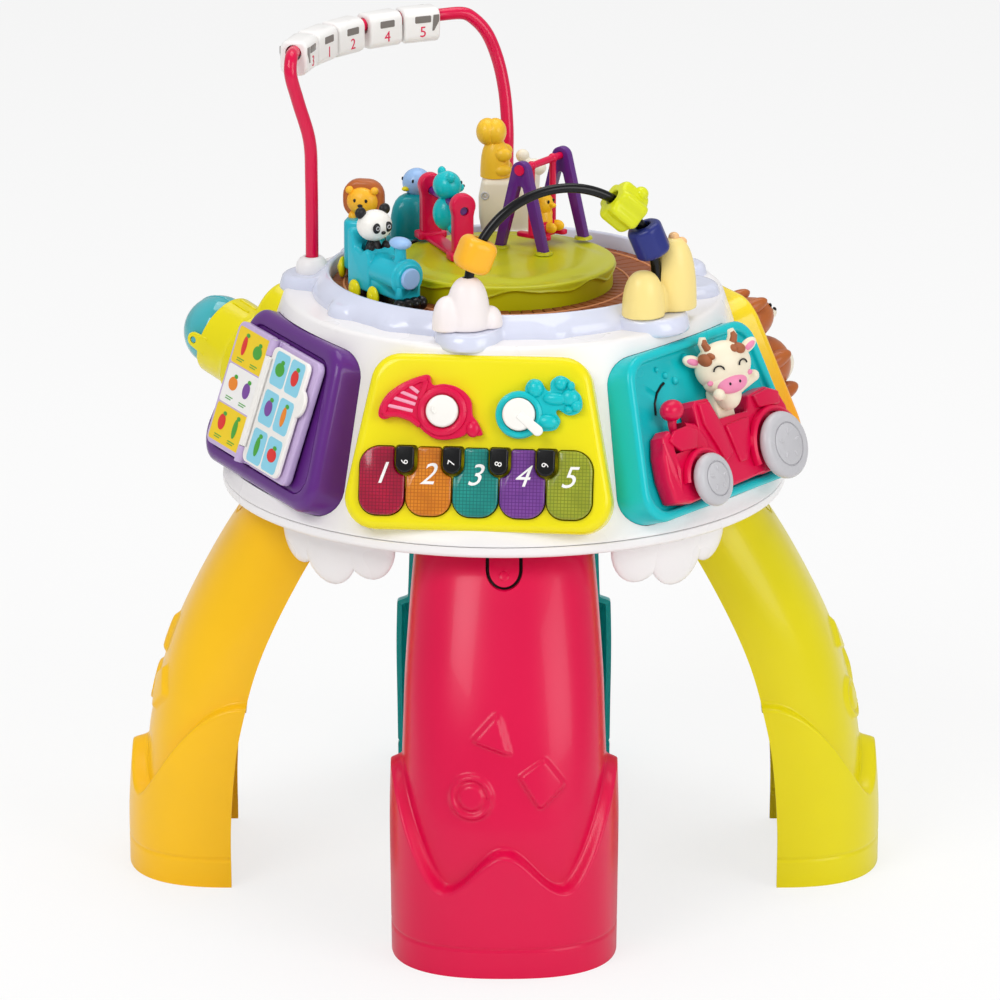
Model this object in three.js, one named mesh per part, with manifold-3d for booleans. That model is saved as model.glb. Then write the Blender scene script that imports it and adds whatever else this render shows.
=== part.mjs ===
// A round musical activity table for a small child, standing on four arched legs.
// Millimetres, +Z up, origin on the floor under the middle of the table.
// The front is -Y. Plan angles are counted from the front, positive towards +X.
import * as THREE from "three";
import { mergeVertices } from "three/addons/utils/BufferGeometryUtils.js";
import Module from "manifold-3d";

const wasm = await Module();
wasm.setup();

// ---- Driving sizes ----
const gap = 0.3; // clearance between pieces that lie against each other
const overrun = 3; // how far a cutting shape runs past the face that it cuts
const rad = Math.PI / 180;
const upright = Math.PI / 2; // turns a shape drawn flat so that it stands up
const roundSides = 36; // sides of the large circles

const body = {
  rimRadius: 174,
  rimBottom: 245,
  rimBand: 7,
  baseRadius: 172,
  topRadius: 136,
  top: 366,
  wall: 3,
};

const leg = {
  wall: 3.2,
  depth: 56,
  cuffOut: 7.5,
  cuffSide: 5,
  cuffTop: 119,
  cuffPeak: 79,
  cuffValley: 55,
  raise: 3,
  socketTop: 262,
};
// Outer radius and half width of the plain leg at each height above the floor.
const legCourse = [
  { height: 0, radius: 225, half: 61.5 },
  { height: 84, radius: 221.5, half: 62.5 },
  { height: 110, radius: 216.5, half: 62 },
  { height: 139, radius: 208.5, half: 61 },
  { height: 166, radius: 197.5, half: 60 },
  { height: 200, radius: 180, half: 57.5 },
  { height: 227, radius: 163.5, half: 55 },
  { height: 244, radius: 151, half: 53 },
  { height: 251, radius: 138, half: 52 },
  { height: leg.socketTop, radius: 138, half: 52 },
];

const panel = {
  faceRadius: 157,
  faceHeight: 310.8,
  lean: 18.8 * rad,
  turns: [-5.5, 52.5, 117, 174.5, -128, -64],
  gridTurn: -5.5 * rad,
  strayTurn: 2.5 * rad,
  bottomWidth: 160,
  topWidth: 128,
  height: 101,
  corner: 18,
  thickness: 22.5,
  border: 6,
  recess: 5,
};

const deck = {
  recessRadius: 107.5,
  lipTop: 379,
  lipWidth: 3,
  slopeRadius: 119,
  lobeTop: 373,
  lobeBottom: 362.2,
  postRadius: 119.5,
};

const track = { thickness: 4, boreRadius: 51, centreRadius: 88 };
const island = { radius: 69, top: 387.5, hubRadius: 50 };

const arch = {
  tubeRadius: 4,
  leftTurn: -97.5 * rad,
  backTurn: 179 * rad,
  barRadius: 131,
  barHeight: 510,
  footDepth: 5,
  collarRadius: 9.3,
  collarHeight: 10,
};

const wire = {
  radius: 3,
  loopRadius: 60,
  springing: 395,
  middle: { x: 35, y: -98.5 },
  turn: 18.6 * rad,
  footDepth: 9,
};

const finish = {
  white: material("#faf6f5", 0.35),
  crimson: material("#e4124f", 0.3),
  lime: material("#dcd90c", 0.3),
  limePanel: material("#f0eb10", 0.3),
  orange: material("#ffbe1e", 0.3),
  teal: material("#12b0ae", 0.3),
  darkTeal: material("#0a8f8f", 0.3),
  purple: material("#5d2678", 0.3),
  deck: material("#c8cde1", 0.2),
  black: material("#17171a", 0.3),
  navy: material("#232c6e", 0.3),
  cream: material("#efe6d0", 0.4),
  hill: material("#fbe08a", 0.4),
  floor: material("#a8603a", 0.5),
  grey: material("#bdbcc0", 0.35),
  lilac: material("#cdb6dd", 0.35),
  board: material("#1f6b3a", 0.6),
};

// ---- Solids ----
function material(colour, roughness) {
  return new THREE.MeshStandardMaterial({ color: colour, roughness, metalness: 0 });
}

function volumeOf(positions, indices) {
  const a = new THREE.Vector3();
  const b = new THREE.Vector3();
  const c = new THREE.Vector3();
  let total = 0;
  for (let i = 0; i < indices.length; i += 3) {
    a.fromBufferAttribute(positions, indices[i]);
    b.fromBufferAttribute(positions, indices[i + 1]);
    c.fromBufferAttribute(positions, indices[i + 2]);
    total += a.dot(b.cross(c));
  }
  return total;
}

// Makes a solid of a closed geometry: shared corners merged, faces pointing out.
function solid(shape) {
  if (!shape.isBufferGeometry) return shape;
  const bare = new THREE.BufferGeometry().setAttribute("position", shape.getAttribute("position"));
  if (shape.index) bare.setIndex(shape.index);
  const merged = mergeVertices(bare);
  const positions = merged.getAttribute("position");
  const old = merged.index.array;
  const kept = [];
  for (let i = 0; i < old.length; i += 3) {
    const [a, b, c] = [old[i], old[i + 1], old[i + 2]];
    if (a !== b && b !== c && c !== a) kept.push(a, b, c);
  }
  if (volumeOf(positions, kept) < 0) kept.reverse();
  const vertProperties = new Float32Array(positions.array);
  const triVerts = new Uint32Array(kept);
  return new wasm.Manifold(new wasm.Mesh({ numProp: 3, vertProperties, triVerts }));
}

function join(...shapes) {
  return shapes.map(solid).reduce((sum, next) => sum.add(next));
}

function cut(shape, ...tools) {
  return tools.map(solid).reduce((rest, tool) => rest.subtract(tool), solid(shape));
}

function common(...shapes) {
  return shapes.map(solid).reduce((sum, next) => sum.intersect(next));
}

// The surface of a solid, as a geometry.
function surface(shape) {
  const mesh = shape.getMesh();
  const points = new Float32Array(mesh.numVert * 3);
  for (let i = 0; i < mesh.numVert; i++) {
    points.set(mesh.vertProperties.subarray(i * mesh.numProp, i * mesh.numProp + 3), i * 3);
  }
  const geometry = new THREE.BufferGeometry();
  geometry.setAttribute("position", new THREE.BufferAttribute(points, 3));
  geometry.setIndex(new THREE.BufferAttribute(mesh.triVerts, 1));
  geometry.computeVertexNormals();
  return geometry;
}

function moved(shape, x, y, z) {
  return surface(solid(shape)).translate(x, y, z);
}

function piece(parent, name, look, shape) {
  const part = new THREE.Mesh(surface(solid(shape)), look);
  part.name = name;
  parent.add(part);
  return part;
}

// ---- Shapes ----
// A profile of [radius, height] pairs turned about the vertical axis.
function turned(profile, sides) {
  const points = profile.map(([radius, height]) => new THREE.Vector2(radius, height));
  return new THREE.LatheGeometry(points, sides).rotateX(upright);
}

function disc(radius, bottom, top, sides) {
  return turned([[0, bottom], [radius, bottom], [radius, top], [0, top]], sides);
}

function ring(inner, outer, bottom, top, sides) {
  return turned([[inner, bottom], [outer, bottom], [outer, top], [inner, top], [inner, bottom]], sides);
}

// A disc whose top edge is bevelled.
function button(radius, bottom, top, bevel, sides) {
  return turned([[0, bottom], [radius, bottom], [radius, top - bevel], [radius - bevel, top], [0, top]], sides);
}

function ball(radius, x, y, z, sides = 8) {
  return new THREE.SphereGeometry(radius, sides, Math.round(sides * 0.7)).translate(x, y, z);
}

function egg(rx, ry, rz, x, y, z, sides = 8) {
  return new THREE.SphereGeometry(1, sides, Math.round(sides * 0.7)).scale(rx, ry, rz).translate(x, y, z);
}

// Half of an egg standing on its flat side.
function dome(rx, ry, height, x, y, z, sides = 12) {
  const steps = Math.round(sides * 0.4);
  const profile = [[0, 0]];
  for (let i = 0; i <= steps; i++) {
    const angle = (i / steps) * upright;
    profile.push([i === steps ? 0 : Math.cos(angle), Math.sin(angle)]);
  }
  return turned(profile, sides).scale(rx, ry, height).translate(x, y, z);
}

function box(width, depth, height, x, y, z) {
  return new THREE.BoxGeometry(width, depth, height).translate(x, y, z);
}

function outline(points) {
  return new THREE.Shape(points.map(([x, y]) => new THREE.Vector2(x, y)));
}

// An outline drawn in X and Y, given a thickness from one height to another.
function slab(shape, bottom, top) {
  return new THREE.ExtrudeGeometry(shape, { depth: top - bottom, bevelEnabled: false, curveSegments: 4 })
    .translate(0, 0, bottom);
}

function bar(from, to, radius, sides = 8) {
  const a = new THREE.Vector3(...from);
  const b = new THREE.Vector3(...to);
  const rod = new THREE.CylinderGeometry(radius, radius, a.distanceTo(b), sides);
  const aim = new THREE.Quaternion().setFromUnitVectors(new THREE.Vector3(0, 1, 0), b.clone().sub(a).normalize());
  return rod.applyQuaternion(aim).translate((a.x + b.x) / 2, (a.y + b.y) / 2, (a.z + b.z) / 2);
}

function tube(curve, radius, steps, sides = 10) {
  const section = new THREE.Shape();
  section.absarc(0, 0, radius, 0, 2 * Math.PI);
  const points = section.getSpacedPoints(sides).slice(0, sides);
  return new THREE.ExtrudeGeometry(new THREE.Shape(points), { steps, extrudePath: curve, bevelEnabled: false });
}

// The outline of a plate with round corners, wider at the bottom than at the top.
function plateOutline(bottomWidth, topWidth, height, corner) {
  const b = bottomWidth / 2;
  const t = topWidth / 2;
  const h = height / 2;
  const side = (b - t) / height;
  const shape = new THREE.Shape();
  shape.moveTo(-b + corner, -h);
  shape.lineTo(b - corner, -h);
  shape.quadraticCurveTo(b, -h, b - corner * side, -h + corner);
  shape.lineTo(t + corner * side, h - corner);
  shape.quadraticCurveTo(t, h, t - corner, h);
  shape.lineTo(-t + corner, h);
  shape.quadraticCurveTo(-t, h, -t - corner * side, h - corner);
  shape.lineTo(-b + corner * side, -h + corner);
  shape.quadraticCurveTo(-b, -h, -b + corner, -h);
  return shape;
}

function facePlate(inset, bottom, top) {
  const shape = plateOutline(
    panel.bottomWidth - 2 * inset,
    panel.topWidth - 2 * inset,
    panel.height - 2 * inset,
    panel.corner - inset / 2,
  );
  return slab(shape, bottom, top);
}

// ---- Groups ----
function group(parent) {
  const made = new THREE.Group();
  parent.add(made);
  return made;
}

// A group whose X runs along the panel, Y up its face and Z straight out of it.
function faceGroup(parent, turn) {
  const turning = group(parent);
  turning.rotation.z = turn;
  const face = group(turning);
  face.position.set(0, -panel.faceRadius, panel.faceHeight);
  face.rotation.x = upright - panel.lean;
  return face;
}

function faceMatrix(turn) {
  const holder = new THREE.Group();
  const face = faceGroup(holder, turn);
  holder.updateMatrixWorld(true);
  return face.matrixWorld;
}

const panelTurns = panel.turns.map((turn) => turn * rad);

// A point on a circle about the table's axis, at a plan angle counted from the front.
const planPoint = (radius, turn) => [radius * Math.sin(turn), -radius * Math.cos(turn)];

const table = new THREE.Group();

// ---- Housing: a white cone in two shells, with a pocket for each panel ----
const coneProfile = (out, top) => [
  [0, body.rimBottom + body.rimBand],
  [body.rimRadius + out, body.rimBottom + body.rimBand],
  [body.baseRadius + out, body.rimBottom + body.rimBand + body.wall],
  [body.topRadius + out, body.top - body.wall + top],
  [body.topRadius + out - body.wall, body.top + top],
  [0, body.top + top],
];

// Everything nearer the axis than the backs of the six panels, less an allowance.
function coreInsidePanels(allowance) {
  const sides = panelTurns.length;
  const low = body.rimBottom;
  const high = body.top;
  const stray = panel.bottomWidth / 2 * Math.sin(panel.strayTurn);
  const back = panel.faceRadius - (panel.thickness + gap) / Math.cos(panel.lean) - allowance - stray;
  const reach = (height) => (back - (height - panel.faceHeight) * Math.tan(panel.lean)) / Math.cos(Math.PI / sides);
  return new THREE.CylinderGeometry(reach(high), reach(low), high - low, sides)
    .rotateX(upright)
    .rotateZ(panel.gridTurn)
    .translate(0, 0, (low + high) / 2);
}

function upperHousing() {
  const floor = body.rimBottom + body.rimBand;
  const cavity = common(
    turned([
      [0, floor - overrun],
      [body.baseRadius - body.wall, floor - overrun],
      [body.baseRadius - body.wall, floor + body.wall],
      [body.topRadius - body.wall, body.top - body.wall],
      [0, body.top - body.wall],
    ], roundSides),
    coreInsidePanels(body.wall),
  );
  const pockets = panelTurns.map((turn) =>
    facePlate(-gap, -panel.thickness - gap, panel.thickness).applyMatrix4(faceMatrix(turn)));
  return cut(turned(coneProfile(0, 0), roundSides), ...pockets, cavity);
}

// ---- Legs: open C-shaped shells that arch outwards ----
const sectionPower = 2.5; // 2 would be an ellipse; more is squarer
const sectionSteps = 8;

// Outline of the C section, as shares of its half width and depth, and its wall.
function sectionShape(half, depth, wall) {
  const bend = (value) => Math.sign(value) * Math.abs(value) ** (2 / sectionPower);
  const halfArc = (w, d) => {
    const points = [];
    for (let i = 0; i <= sectionSteps; i++) {
      const angle = (i / sectionSteps) * Math.PI;
      points.push([w * bend(Math.cos(angle)), d * bend(Math.sin(angle)) - depth]);
    }
    return points;
  };
  const outer = halfArc(half, depth);
  if (wall === 0) return outline(outer);
  return outline([...outer, ...halfArc(half - wall, depth - wall).reverse()]);
}

function courseAt(height, key) {
  const above = legCourse.findIndex((station) => station.height >= height);
  const index = above < 0 ? legCourse.length - 1 : Math.max(above, 1);
  const high = legCourse[index];
  const low = legCourse[index - 1];
  const share = (height - low.height) / (high.height - low.height);
  return low[key] + share * (high[key] - low[key]);
}

// A shell that follows the leg's course, moved out from it by a side and a front allowance.
// A wall of 0 gives the filled leg.
function legShell(bottom, top, side, out, wall) {
  const foot = legCourse[0];
  const between = legCourse.map((station) => station.height).filter((height) => height > bottom && height < top);
  const levels = [bottom, ...between, top];
  const steps = levels.length - 1;
  const section = sectionShape(foot.half + side, leg.depth + out, wall);
  const shell = new THREE.ExtrudeGeometry(section, { depth: steps, steps, bevelEnabled: false });
  const positions = shell.getAttribute("position");
  for (let i = 0; i < positions.count; i++) {
    const height = levels[Math.round(positions.getZ(i))];
    const widen = (courseAt(height, "half") + side) / (foot.half + side);
    positions.setXYZ(i, positions.getX(i) * widen, -courseAt(height, "radius") - out - positions.getY(i), height);
  }
  return shell;
}

// The wavy upper edge of the cuff, seen from the front.
function cuffMask() {
  const side = leg.cuffSide + legCourse[0].half + overrun;
  const valleyShare = 0.5;
  const shape = new THREE.Shape();
  shape.moveTo(-side, 0);
  shape.lineTo(side, 0);
  shape.lineTo(side, leg.cuffTop);
  shape.quadraticCurveTo(side * 0.72, leg.cuffValley, side * valleyShare, leg.cuffValley);
  shape.quadraticCurveTo(side * 0.3, leg.cuffValley, 0, leg.cuffPeak);
  shape.quadraticCurveTo(-side * 0.3, leg.cuffValley, -side * valleyShare, leg.cuffValley);
  shape.quadraticCurveTo(-side * 0.72, leg.cuffValley, -side, leg.cuffTop);
  return slab(shape, 0, legCourse[0].radius + leg.cuffOut + overrun).rotateX(upright);
}

// A triangle, a ring and a diamond stand proud of each leg.
function legMarks() {
  const markTriangle = { x: -6.5, height: 146, size: 17 };
  const markRing = { x: -21, height: 108.8, outer: 14, inner: 9.6 };
  const markDiamond = { x: 21.9, height: 116.3, size: 15.5 };
  const reach = legCourse[0].radius + leg.raise + overrun;
  const triangle = new THREE.CylinderGeometry(markTriangle.size, markTriangle.size, reach, 3)
    .rotateY(12 * rad)
    .translate(markTriangle.x, -reach / 2, markTriangle.height);
  const hoop = ring(markRing.inner, markRing.outer, 0, reach, 14)
    .rotateX(upright)
    .translate(markRing.x, 0, markRing.height);
  const diamond = new THREE.CylinderGeometry(markDiamond.size, markDiamond.size, reach, 4)
    .rotateY(12 * rad)
    .translate(markDiamond.x, -reach / 2, markDiamond.height);
  const skin = legShell(markRing.height - 2 * markRing.outer, markTriangle.height + 2 * markTriangle.size,
    leg.raise, leg.raise, leg.raise + leg.wall / 2);
  return [triangle, hoop, diamond].map((mark) => common(mark, skin));
}

function legSolid() {
  const latchWidth = 18;
  const latchLength = 22;
  const slotWidth = 2.5;
  const latchTop = body.rimBottom - gap;
  const shell = legShell(0, leg.socketTop, 0, 0, leg.wall);
  const cuff = common(
    legShell(0, leg.cuffTop, leg.cuffSide, leg.cuffOut, leg.cuffOut + leg.wall / 2),
    cuffMask(),
  );
  const reach = legCourse[0].radius;
  const middle = latchTop - latchLength / 2;
  const slot = cut(
    box(latchWidth + 2 * slotWidth, reach, latchLength + slotWidth, 0, -reach / 2, middle - slotWidth / 2),
    box(latchWidth, reach + overrun, latchLength + slotWidth, 0, -reach / 2, middle + slotWidth / 2),
  );
  return cut(join(shell, cuff, ...legMarks()), slot);
}

// ---- Lower housing: the rim, the floor with four leg sockets, and cloud-shaped skirts ----
function skirt(turn) {
  const innerRadius = 146;
  const outerRadius = 150;
  const lobes = [
    { x: -30, height: 230, radius: 17 },
    { x: -2, height: 228, radius: 20 },
    { x: 28, height: 231, radius: 17 },
  ];
  const puffs = lobes.map((lobe) =>
    new THREE.CylinderGeometry(lobe.radius, lobe.radius, outerRadius + overrun, 14)
      .translate(lobe.x, -(outerRadius + overrun) / 2, lobe.height));
  const width = 2 * (lobes[2].x + lobes[2].radius);
  const root = box(width, outerRadius + overrun, lobes[0].radius, 0,
    -(outerRadius + overrun) / 2, body.rimBottom - lobes[0].radius / 2 + body.wall);
  const wall = ring(innerRadius, outerRadius, 0, body.rimBottom + body.wall, roundSides);
  const shape = common(join(...puffs, root), wall);
  return surface(shape).rotateZ(turn);
}

const batteryBay = { width: 76, depth: 62, lid: 2.5 };

function lowerHousing() {
  const floorBottom = body.rimBottom + body.wall / 2;
  const floorTop = floorBottom + body.wall;
  const rimTop = body.rimBottom + body.rimBand - gap;
  const rim = turned([
    [0, floorBottom],
    [body.rimRadius - 2 * body.wall, floorBottom],
    [body.rimRadius - body.wall, body.rimBottom],
    [body.rimRadius, body.rimBottom + body.wall],
    [body.rimRadius, rimTop],
    [body.rimRadius - body.wall, rimTop],
    [body.rimRadius - body.wall, floorTop],
    [0, floorTop],
  ], roundSides);
  const ceiling = leg.socketTop + gap;
  const walls = [0, 1, 2, 3].map((place) =>
    legShell(floorBottom, ceiling + body.wall, body.wall, body.wall, 0).rotateZ(place * 90 * rad));
  const hollows = [0, 1, 2, 3].map((place) =>
    legShell(body.rimBottom - overrun, ceiling, gap, gap, leg.wall + 2 * gap).rotateZ(place * 90 * rad));
  const skirts = [45, 135, 225, 315].map((angle) => skirt(angle * rad));
  const bay = box(batteryBay.width, batteryBay.depth, body.wall + 2 * overrun, 0, 0, (floorBottom + floorTop) / 2);
  return cut(join(rim, ...walls, ...skirts), ...hollows, bay);
}

// ---- Deck: a glossy ring whose cloud-shaped lobes hang over the cone's edge ----
const lobes = [
  { turn: arch.leftTurn, radius: 20, distance: deck.postRadius },
  { turn: arch.backTurn, radius: 20, distance: deck.postRadius },
  { turn: -10.6 * rad, radius: 20, distance: deck.postRadius },
  { turn: 48.5 * rad, radius: 23, distance: deck.postRadius },
  { turn: -58 * rad, radius: 14, distance: 110 },
  { turn: -36 * rad, radius: 13, distance: 108 },
  { turn: 15 * rad, radius: 13, distance: 108 },
  { turn: 86 * rad, radius: 17, distance: 116 },
  { turn: 110 * rad, radius: 17, distance: 116 },
  { turn: 142 * rad, radius: 14, distance: 112 },
  { turn: -130 * rad, radius: 16, distance: 114 },
  { turn: -156 * rad, radius: 14, distance: 111 },
];

function deckSlope(allowance) {
  const inner = deck.recessRadius - overrun;
  return turned([
    [inner, deck.lobeBottom - allowance],
    [deck.slopeRadius + allowance, deck.lobeBottom - allowance],
    [deck.slopeRadius + allowance, deck.lobeTop - deck.lipWidth + allowance],
    [deck.recessRadius + deck.lipWidth + allowance, deck.lipTop + allowance],
    [inner, deck.lipTop + allowance],
    [inner, deck.lobeBottom - allowance],
  ], roundSides);
}

function deckRing() {
  const bevel = 5;
  const puffs = lobes.map((lobe) => {
    const [x, y] = planPoint(lobe.distance, lobe.turn);
    return button(lobe.radius, deck.lobeBottom, deck.lobeTop, bevel, 12).translate(x, y, 0);
  });
  const feet = [arch.leftTurn, arch.backTurn].map((turn) => planPoint(deck.postRadius, turn));
  const collarTop = deck.lobeTop + arch.collarHeight;
  const collars = feet.map(([x, y]) =>
    button(arch.collarRadius, deck.lobeTop - gap, collarTop, arch.collarRadius / 3, 12).translate(x, y, 0));
  const bores = feet.map(([x, y]) =>
    disc(arch.tubeRadius + gap, body.top, collarTop + overrun, 10).translate(x, y, 0));
  const recess = disc(deck.recessRadius, deck.lobeBottom - overrun, deck.lipTop + overrun, roundSides);
  const cone = turned(coneProfile(gap, gap), roundSides);
  return cut(join(deckSlope(0), ...puffs, ...collars), recess, cone, ...bores);
}

// ---- Turning track with its train, and the fixed island inside it ----
const trackBottom = body.top + gap;
const trackTop = trackBottom + track.thickness;
const islandBottom = trackTop + 2 * gap;

function islandSolid() {
  const bevel = 5;
  return turned([
    [0, trackBottom],
    [island.hubRadius, trackBottom],
    [island.hubRadius, islandBottom],
    [island.radius, islandBottom],
    [island.radius, island.top - bevel],
    [island.radius - bevel, island.top],
    [0, island.top],
  ], roundSides);
}

// A group on the track: X runs forwards, -Y outwards, Z up from the floor.
function vehicleGroup(parent, turn) {
  const turning = group(parent);
  turning.rotation.z = turn;
  const vehicle = group(turning);
  vehicle.position.set(0, -track.centreRadius, trackTop + gap);
  return vehicle;
}

const car = { wheelRadius: 6.5, wheelWidth: 3, width: 21, floor: 4, roof: 38, seatRadius: 7, seatDepth: 12 };

function wheelPair(x) {
  const span = car.width + 2 * car.wheelWidth;
  return new THREE.CylinderGeometry(car.wheelRadius, car.wheelRadius, span, 10).translate(x, 0, car.wheelRadius);
}

function seat(x, top) {
  return disc(car.seatRadius + gap, top - car.seatDepth, top + overrun, 14).translate(x, 0, 0);
}

const loco = { length: 54, cabLength: 24, boilerRadius: 11, boilerHeight: 21, chimneyTop: 43, chimneyRadius: 3.5 };
const cabMiddle = -loco.length / 2 + loco.cabLength / 2;

function locomotive() {
  const capRadius = 2 * loco.chimneyRadius;
  const capBottom = loco.chimneyTop - loco.chimneyRadius;
  const chimneyX = loco.length / 2 - loco.boilerRadius;
  const chassis = box(loco.length, car.width - 4 * gap, car.wheelRadius, 0, 0, car.floor + car.wheelRadius / 2);
  const cab = box(loco.cabLength, car.width, car.roof - car.floor, cabMiddle, 0, (car.roof + car.floor) / 2);
  const boilerFront = loco.length / 2;
  const boiler = bar([cabMiddle, 0, loco.boilerHeight], [boilerFront, 0, loco.boilerHeight], loco.boilerRadius, 16);
  const chimney = disc(loco.chimneyRadius, loco.boilerHeight, loco.chimneyTop, 12).translate(chimneyX, 0, 0);
  const cap = button(capRadius, capBottom, loco.chimneyTop + gap, gap, 14).translate(chimneyX, 0, 0);
  const catcher = box(loco.boilerRadius / 2, car.width, car.wheelRadius, boilerFront, 0, car.wheelRadius / 2 + gap);
  const wheelSpots = [cabMiddle, cabMiddle + 17];
  return cut(join(chassis, cab, boiler, chimney, cap, catcher, ...wheelSpots.map(wheelPair)), seat(cabMiddle, car.roof));
}

const wagonLength = 34;

function wagon() {
  const tub = box(wagonLength, car.width, car.roof - car.floor, 0, 0, (car.roof + car.floor) / 2);
  const wheelSpots = [-wagonLength / 3, wagonLength / 3];
  return cut(join(tub, ...wheelSpots.map(wheelPair)), seat(0, car.roof));
}

// An animal whose body stands in a wagon's seat; the head and ears are round.
function rider(headRadius, earRadius) {
  const bottom = car.roof - car.seatDepth + gap;
  const headHeight = car.roof + headRadius * 0.95;
  const torso = disc(car.seatRadius, bottom, headHeight, 12);
  const ears = [-1, 1].map((side) =>
    ball(earRadius, 0, side * headRadius * 0.75, headHeight + headRadius * 0.72, 6));
  return join(torso, ball(headRadius, 0, 0, headHeight, 10), ...ears);
}

function roundWagon() {
  const domeHeight = 40;
  const head = { radius: 9, height: 47, forward: 4 };
  const shell = dome(wagonLength / 2, car.width / 2, domeHeight, 0, 0, car.floor, 12);
  const wheelSpots = [-wagonLength / 4, wagonLength / 4];
  const base = box(wagonLength, car.width, car.wheelRadius, 0, 0, car.floor + car.wheelRadius / 2);
  const beak = egg(head.radius / 2, head.radius / 4, head.radius / 4, head.forward + head.radius, 0, head.height, 8);
  return join(shell, base, ball(head.radius, head.forward, 0, head.height), beak, ...wheelSpots.map(wheelPair));
}

const creamTop = 45;

function creamWagon() {
  const neck = { x: -17, radius: 6, top: 60, headRadius: 8 };
  const hull = common(
    egg(wagonLength / 2 + neck.radius, car.width / 2, creamTop - car.floor, 0, 0, car.floor + car.wheelRadius, 12),
    box(2 * wagonLength, car.width, creamTop - car.floor, 0, 0, (creamTop + car.floor) / 2),
  );
  const stem = disc(neck.radius, car.floor + car.wheelRadius, neck.top, 12).translate(neck.x, 0, 0);
  const head = ball(neck.headRadius, neck.x, 0, neck.top, 10);
  const wheelSpots = [-wagonLength / 4, wagonLength / 4];
  return join(hull, stem, head, ...wheelSpots.map(wheelPair));
}

function squirrel() {
  const bottom = creamTop + gap;
  const trunk = { half: 9, depth: 7.5, height: 28 };
  const headRadius = 8;
  const headHeight = bottom + trunk.height + headRadius * 0.4;
  const shift = 4;
  const trunkDome = dome(trunk.half, trunk.depth, trunk.height, shift, 0, bottom, 12);
  const tail = egg(trunk.half / 2, trunk.depth / 2, trunk.height / 2.4, shift - trunk.half, 0,
    bottom + trunk.height / 2.2, 10);
  const ears = [-1, 1].map((side) =>
    ball(headRadius / 3, shift, side * headRadius * 0.6, headHeight + headRadius * 0.8, 6));
  return join(trunkDome, tail, ball(headRadius, shift, 0, headHeight, 10), ...ears);
}

// ---- Tumbler: an animal on an axle between two posts ----
const tumbler = { x: -35.5, y: 16.5, turn: 20.9 * rad, span: 56, postHeight: 41, axleHeight: 31, axleRadius: 2.5 };

function tumblerBracket() {
  const post = { width: 11, depth: 6 };
  const bottom = island.top + gap;
  const strip = box(post.width, tumbler.span + post.depth, gap * 8, 0, 0, bottom + gap * 4);
  const posts = [-1, 1].map((side) => {
    const y = side * tumbler.span / 2;
    const top = bottom + tumbler.postHeight - post.width / 2;
    const shaft = box(post.width, post.depth, top - bottom, 0, y, (top + bottom) / 2);
    return join(shaft, bar([0, y - post.depth / 2, top], [0, y + post.depth / 2, top], post.width / 2, 12));
  });
  const axle = island.top + tumbler.axleHeight;
  const reach = tumbler.span;
  const bore = bar([0, -reach, axle], [0, reach, axle], tumbler.axleRadius + gap, 12);
  return cut(join(strip, ...posts), bore);
}

function tumblingBear() {
  const trunk = { radius: 10, drop: 9 };
  const head = { radius: 9, rise: 9 };
  const half = tumbler.span / 2 + 2;
  const axle = bar([0, -half, 0], [0, half, 0], tumbler.axleRadius, 12);
  const ears = [-1, 1].map((side) => ball(3, 0, side * head.radius * 0.75, head.rise + head.radius * 0.7, 6));
  const snout = ball(4, head.radius * 0.8, 0, head.rise, 6);
  return join(axle, egg(trunk.radius, trunk.radius, trunk.radius * 1.2, 0, 0, -trunk.drop, 10),
    ball(head.radius, 0, 0, head.rise, 10), snout, ...ears);
}

// ---- Swing: two A-frames, a cross bar that turns in them, and its seat ----
const swing = { x: 23.5, y: 31, turn: -33.3 * rad, span: 45.5, height: 51, spread: 32, barRadius: 2.2, legRadius: 2.7 };

function swingFrame() {
  const bottom = island.top + gap;
  const top = bottom + swing.height;
  const half = swing.spread / 2;
  const legs = [-half, half].map((x) => bar([x, 0, bottom], [0, 0, top], swing.legRadius, 8));
  const feet = [-half, half].map((x) => disc(swing.legRadius + 1.5, bottom, bottom + swing.legRadius, 10).translate(x, 0, 0));
  const hubRadius = swing.barRadius + swing.legRadius;
  const hub = bar([0, -swing.legRadius, top], [0, swing.legRadius, top], hubRadius, 14);
  const bore = bar([0, -swing.span, top], [0, swing.span, top], swing.barRadius + gap, 12);
  const below = box(swing.span, swing.span, swing.height, 0, 0, bottom - swing.height / 2);
  return cut(join(...legs, ...feet, hub), bore, below);
}

const swingSeatDrop = 45;

function swingSeat() {
  const seatSize = { length: 24, width: 24, thickness: 3 };
  const half = swing.span / 2 + swing.legRadius + 1;
  const rod = bar([0, -half, 0], [0, half, 0], swing.barRadius, 12);
  const y = seatSize.width / 2;
  const arms = [-y, y].map((side) => bar([0, side, 0], [0, side, -swingSeatDrop], swing.barRadius, 8));
  const board = box(seatSize.length, seatSize.width, seatSize.thickness, 0, 0, -swingSeatDrop);
  return join(rod, ...arms, board);
}

function swingChick() {
  const bottom = -swingSeatDrop + 1.5 + gap;
  const trunk = dome(8, 7.5, 15, 0, 0, bottom, 12);
  const head = ball(7.5, 0, 0, bottom + 17, 10);
  const beak = ball(2.4, 7, 0, bottom + 17, 6);
  return join(trunk, head, beak);
}

// ---- Bead wire between a cloud and two hills ----
function wireCurve() {
  const points = [];
  const foot = wire.springing - wire.footDepth;
  const r = wire.loopRadius;
  points.push(new THREE.Vector3(-r, 0, foot), new THREE.Vector3(-r, 0, (foot + wire.springing) / 2));
  for (let i = 0; i <= 12; i++) {
    const angle = Math.PI - (i / 12) * Math.PI;
    points.push(new THREE.Vector3(r * Math.cos(angle), 0, wire.springing + r * Math.sin(angle)));
  }
  points.push(new THREE.Vector3(r, 0, (foot + wire.springing) / 2), new THREE.Vector3(r, 0, foot));
  return new THREE.CatmullRomCurve3(points, false, "centripetal");
}

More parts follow.
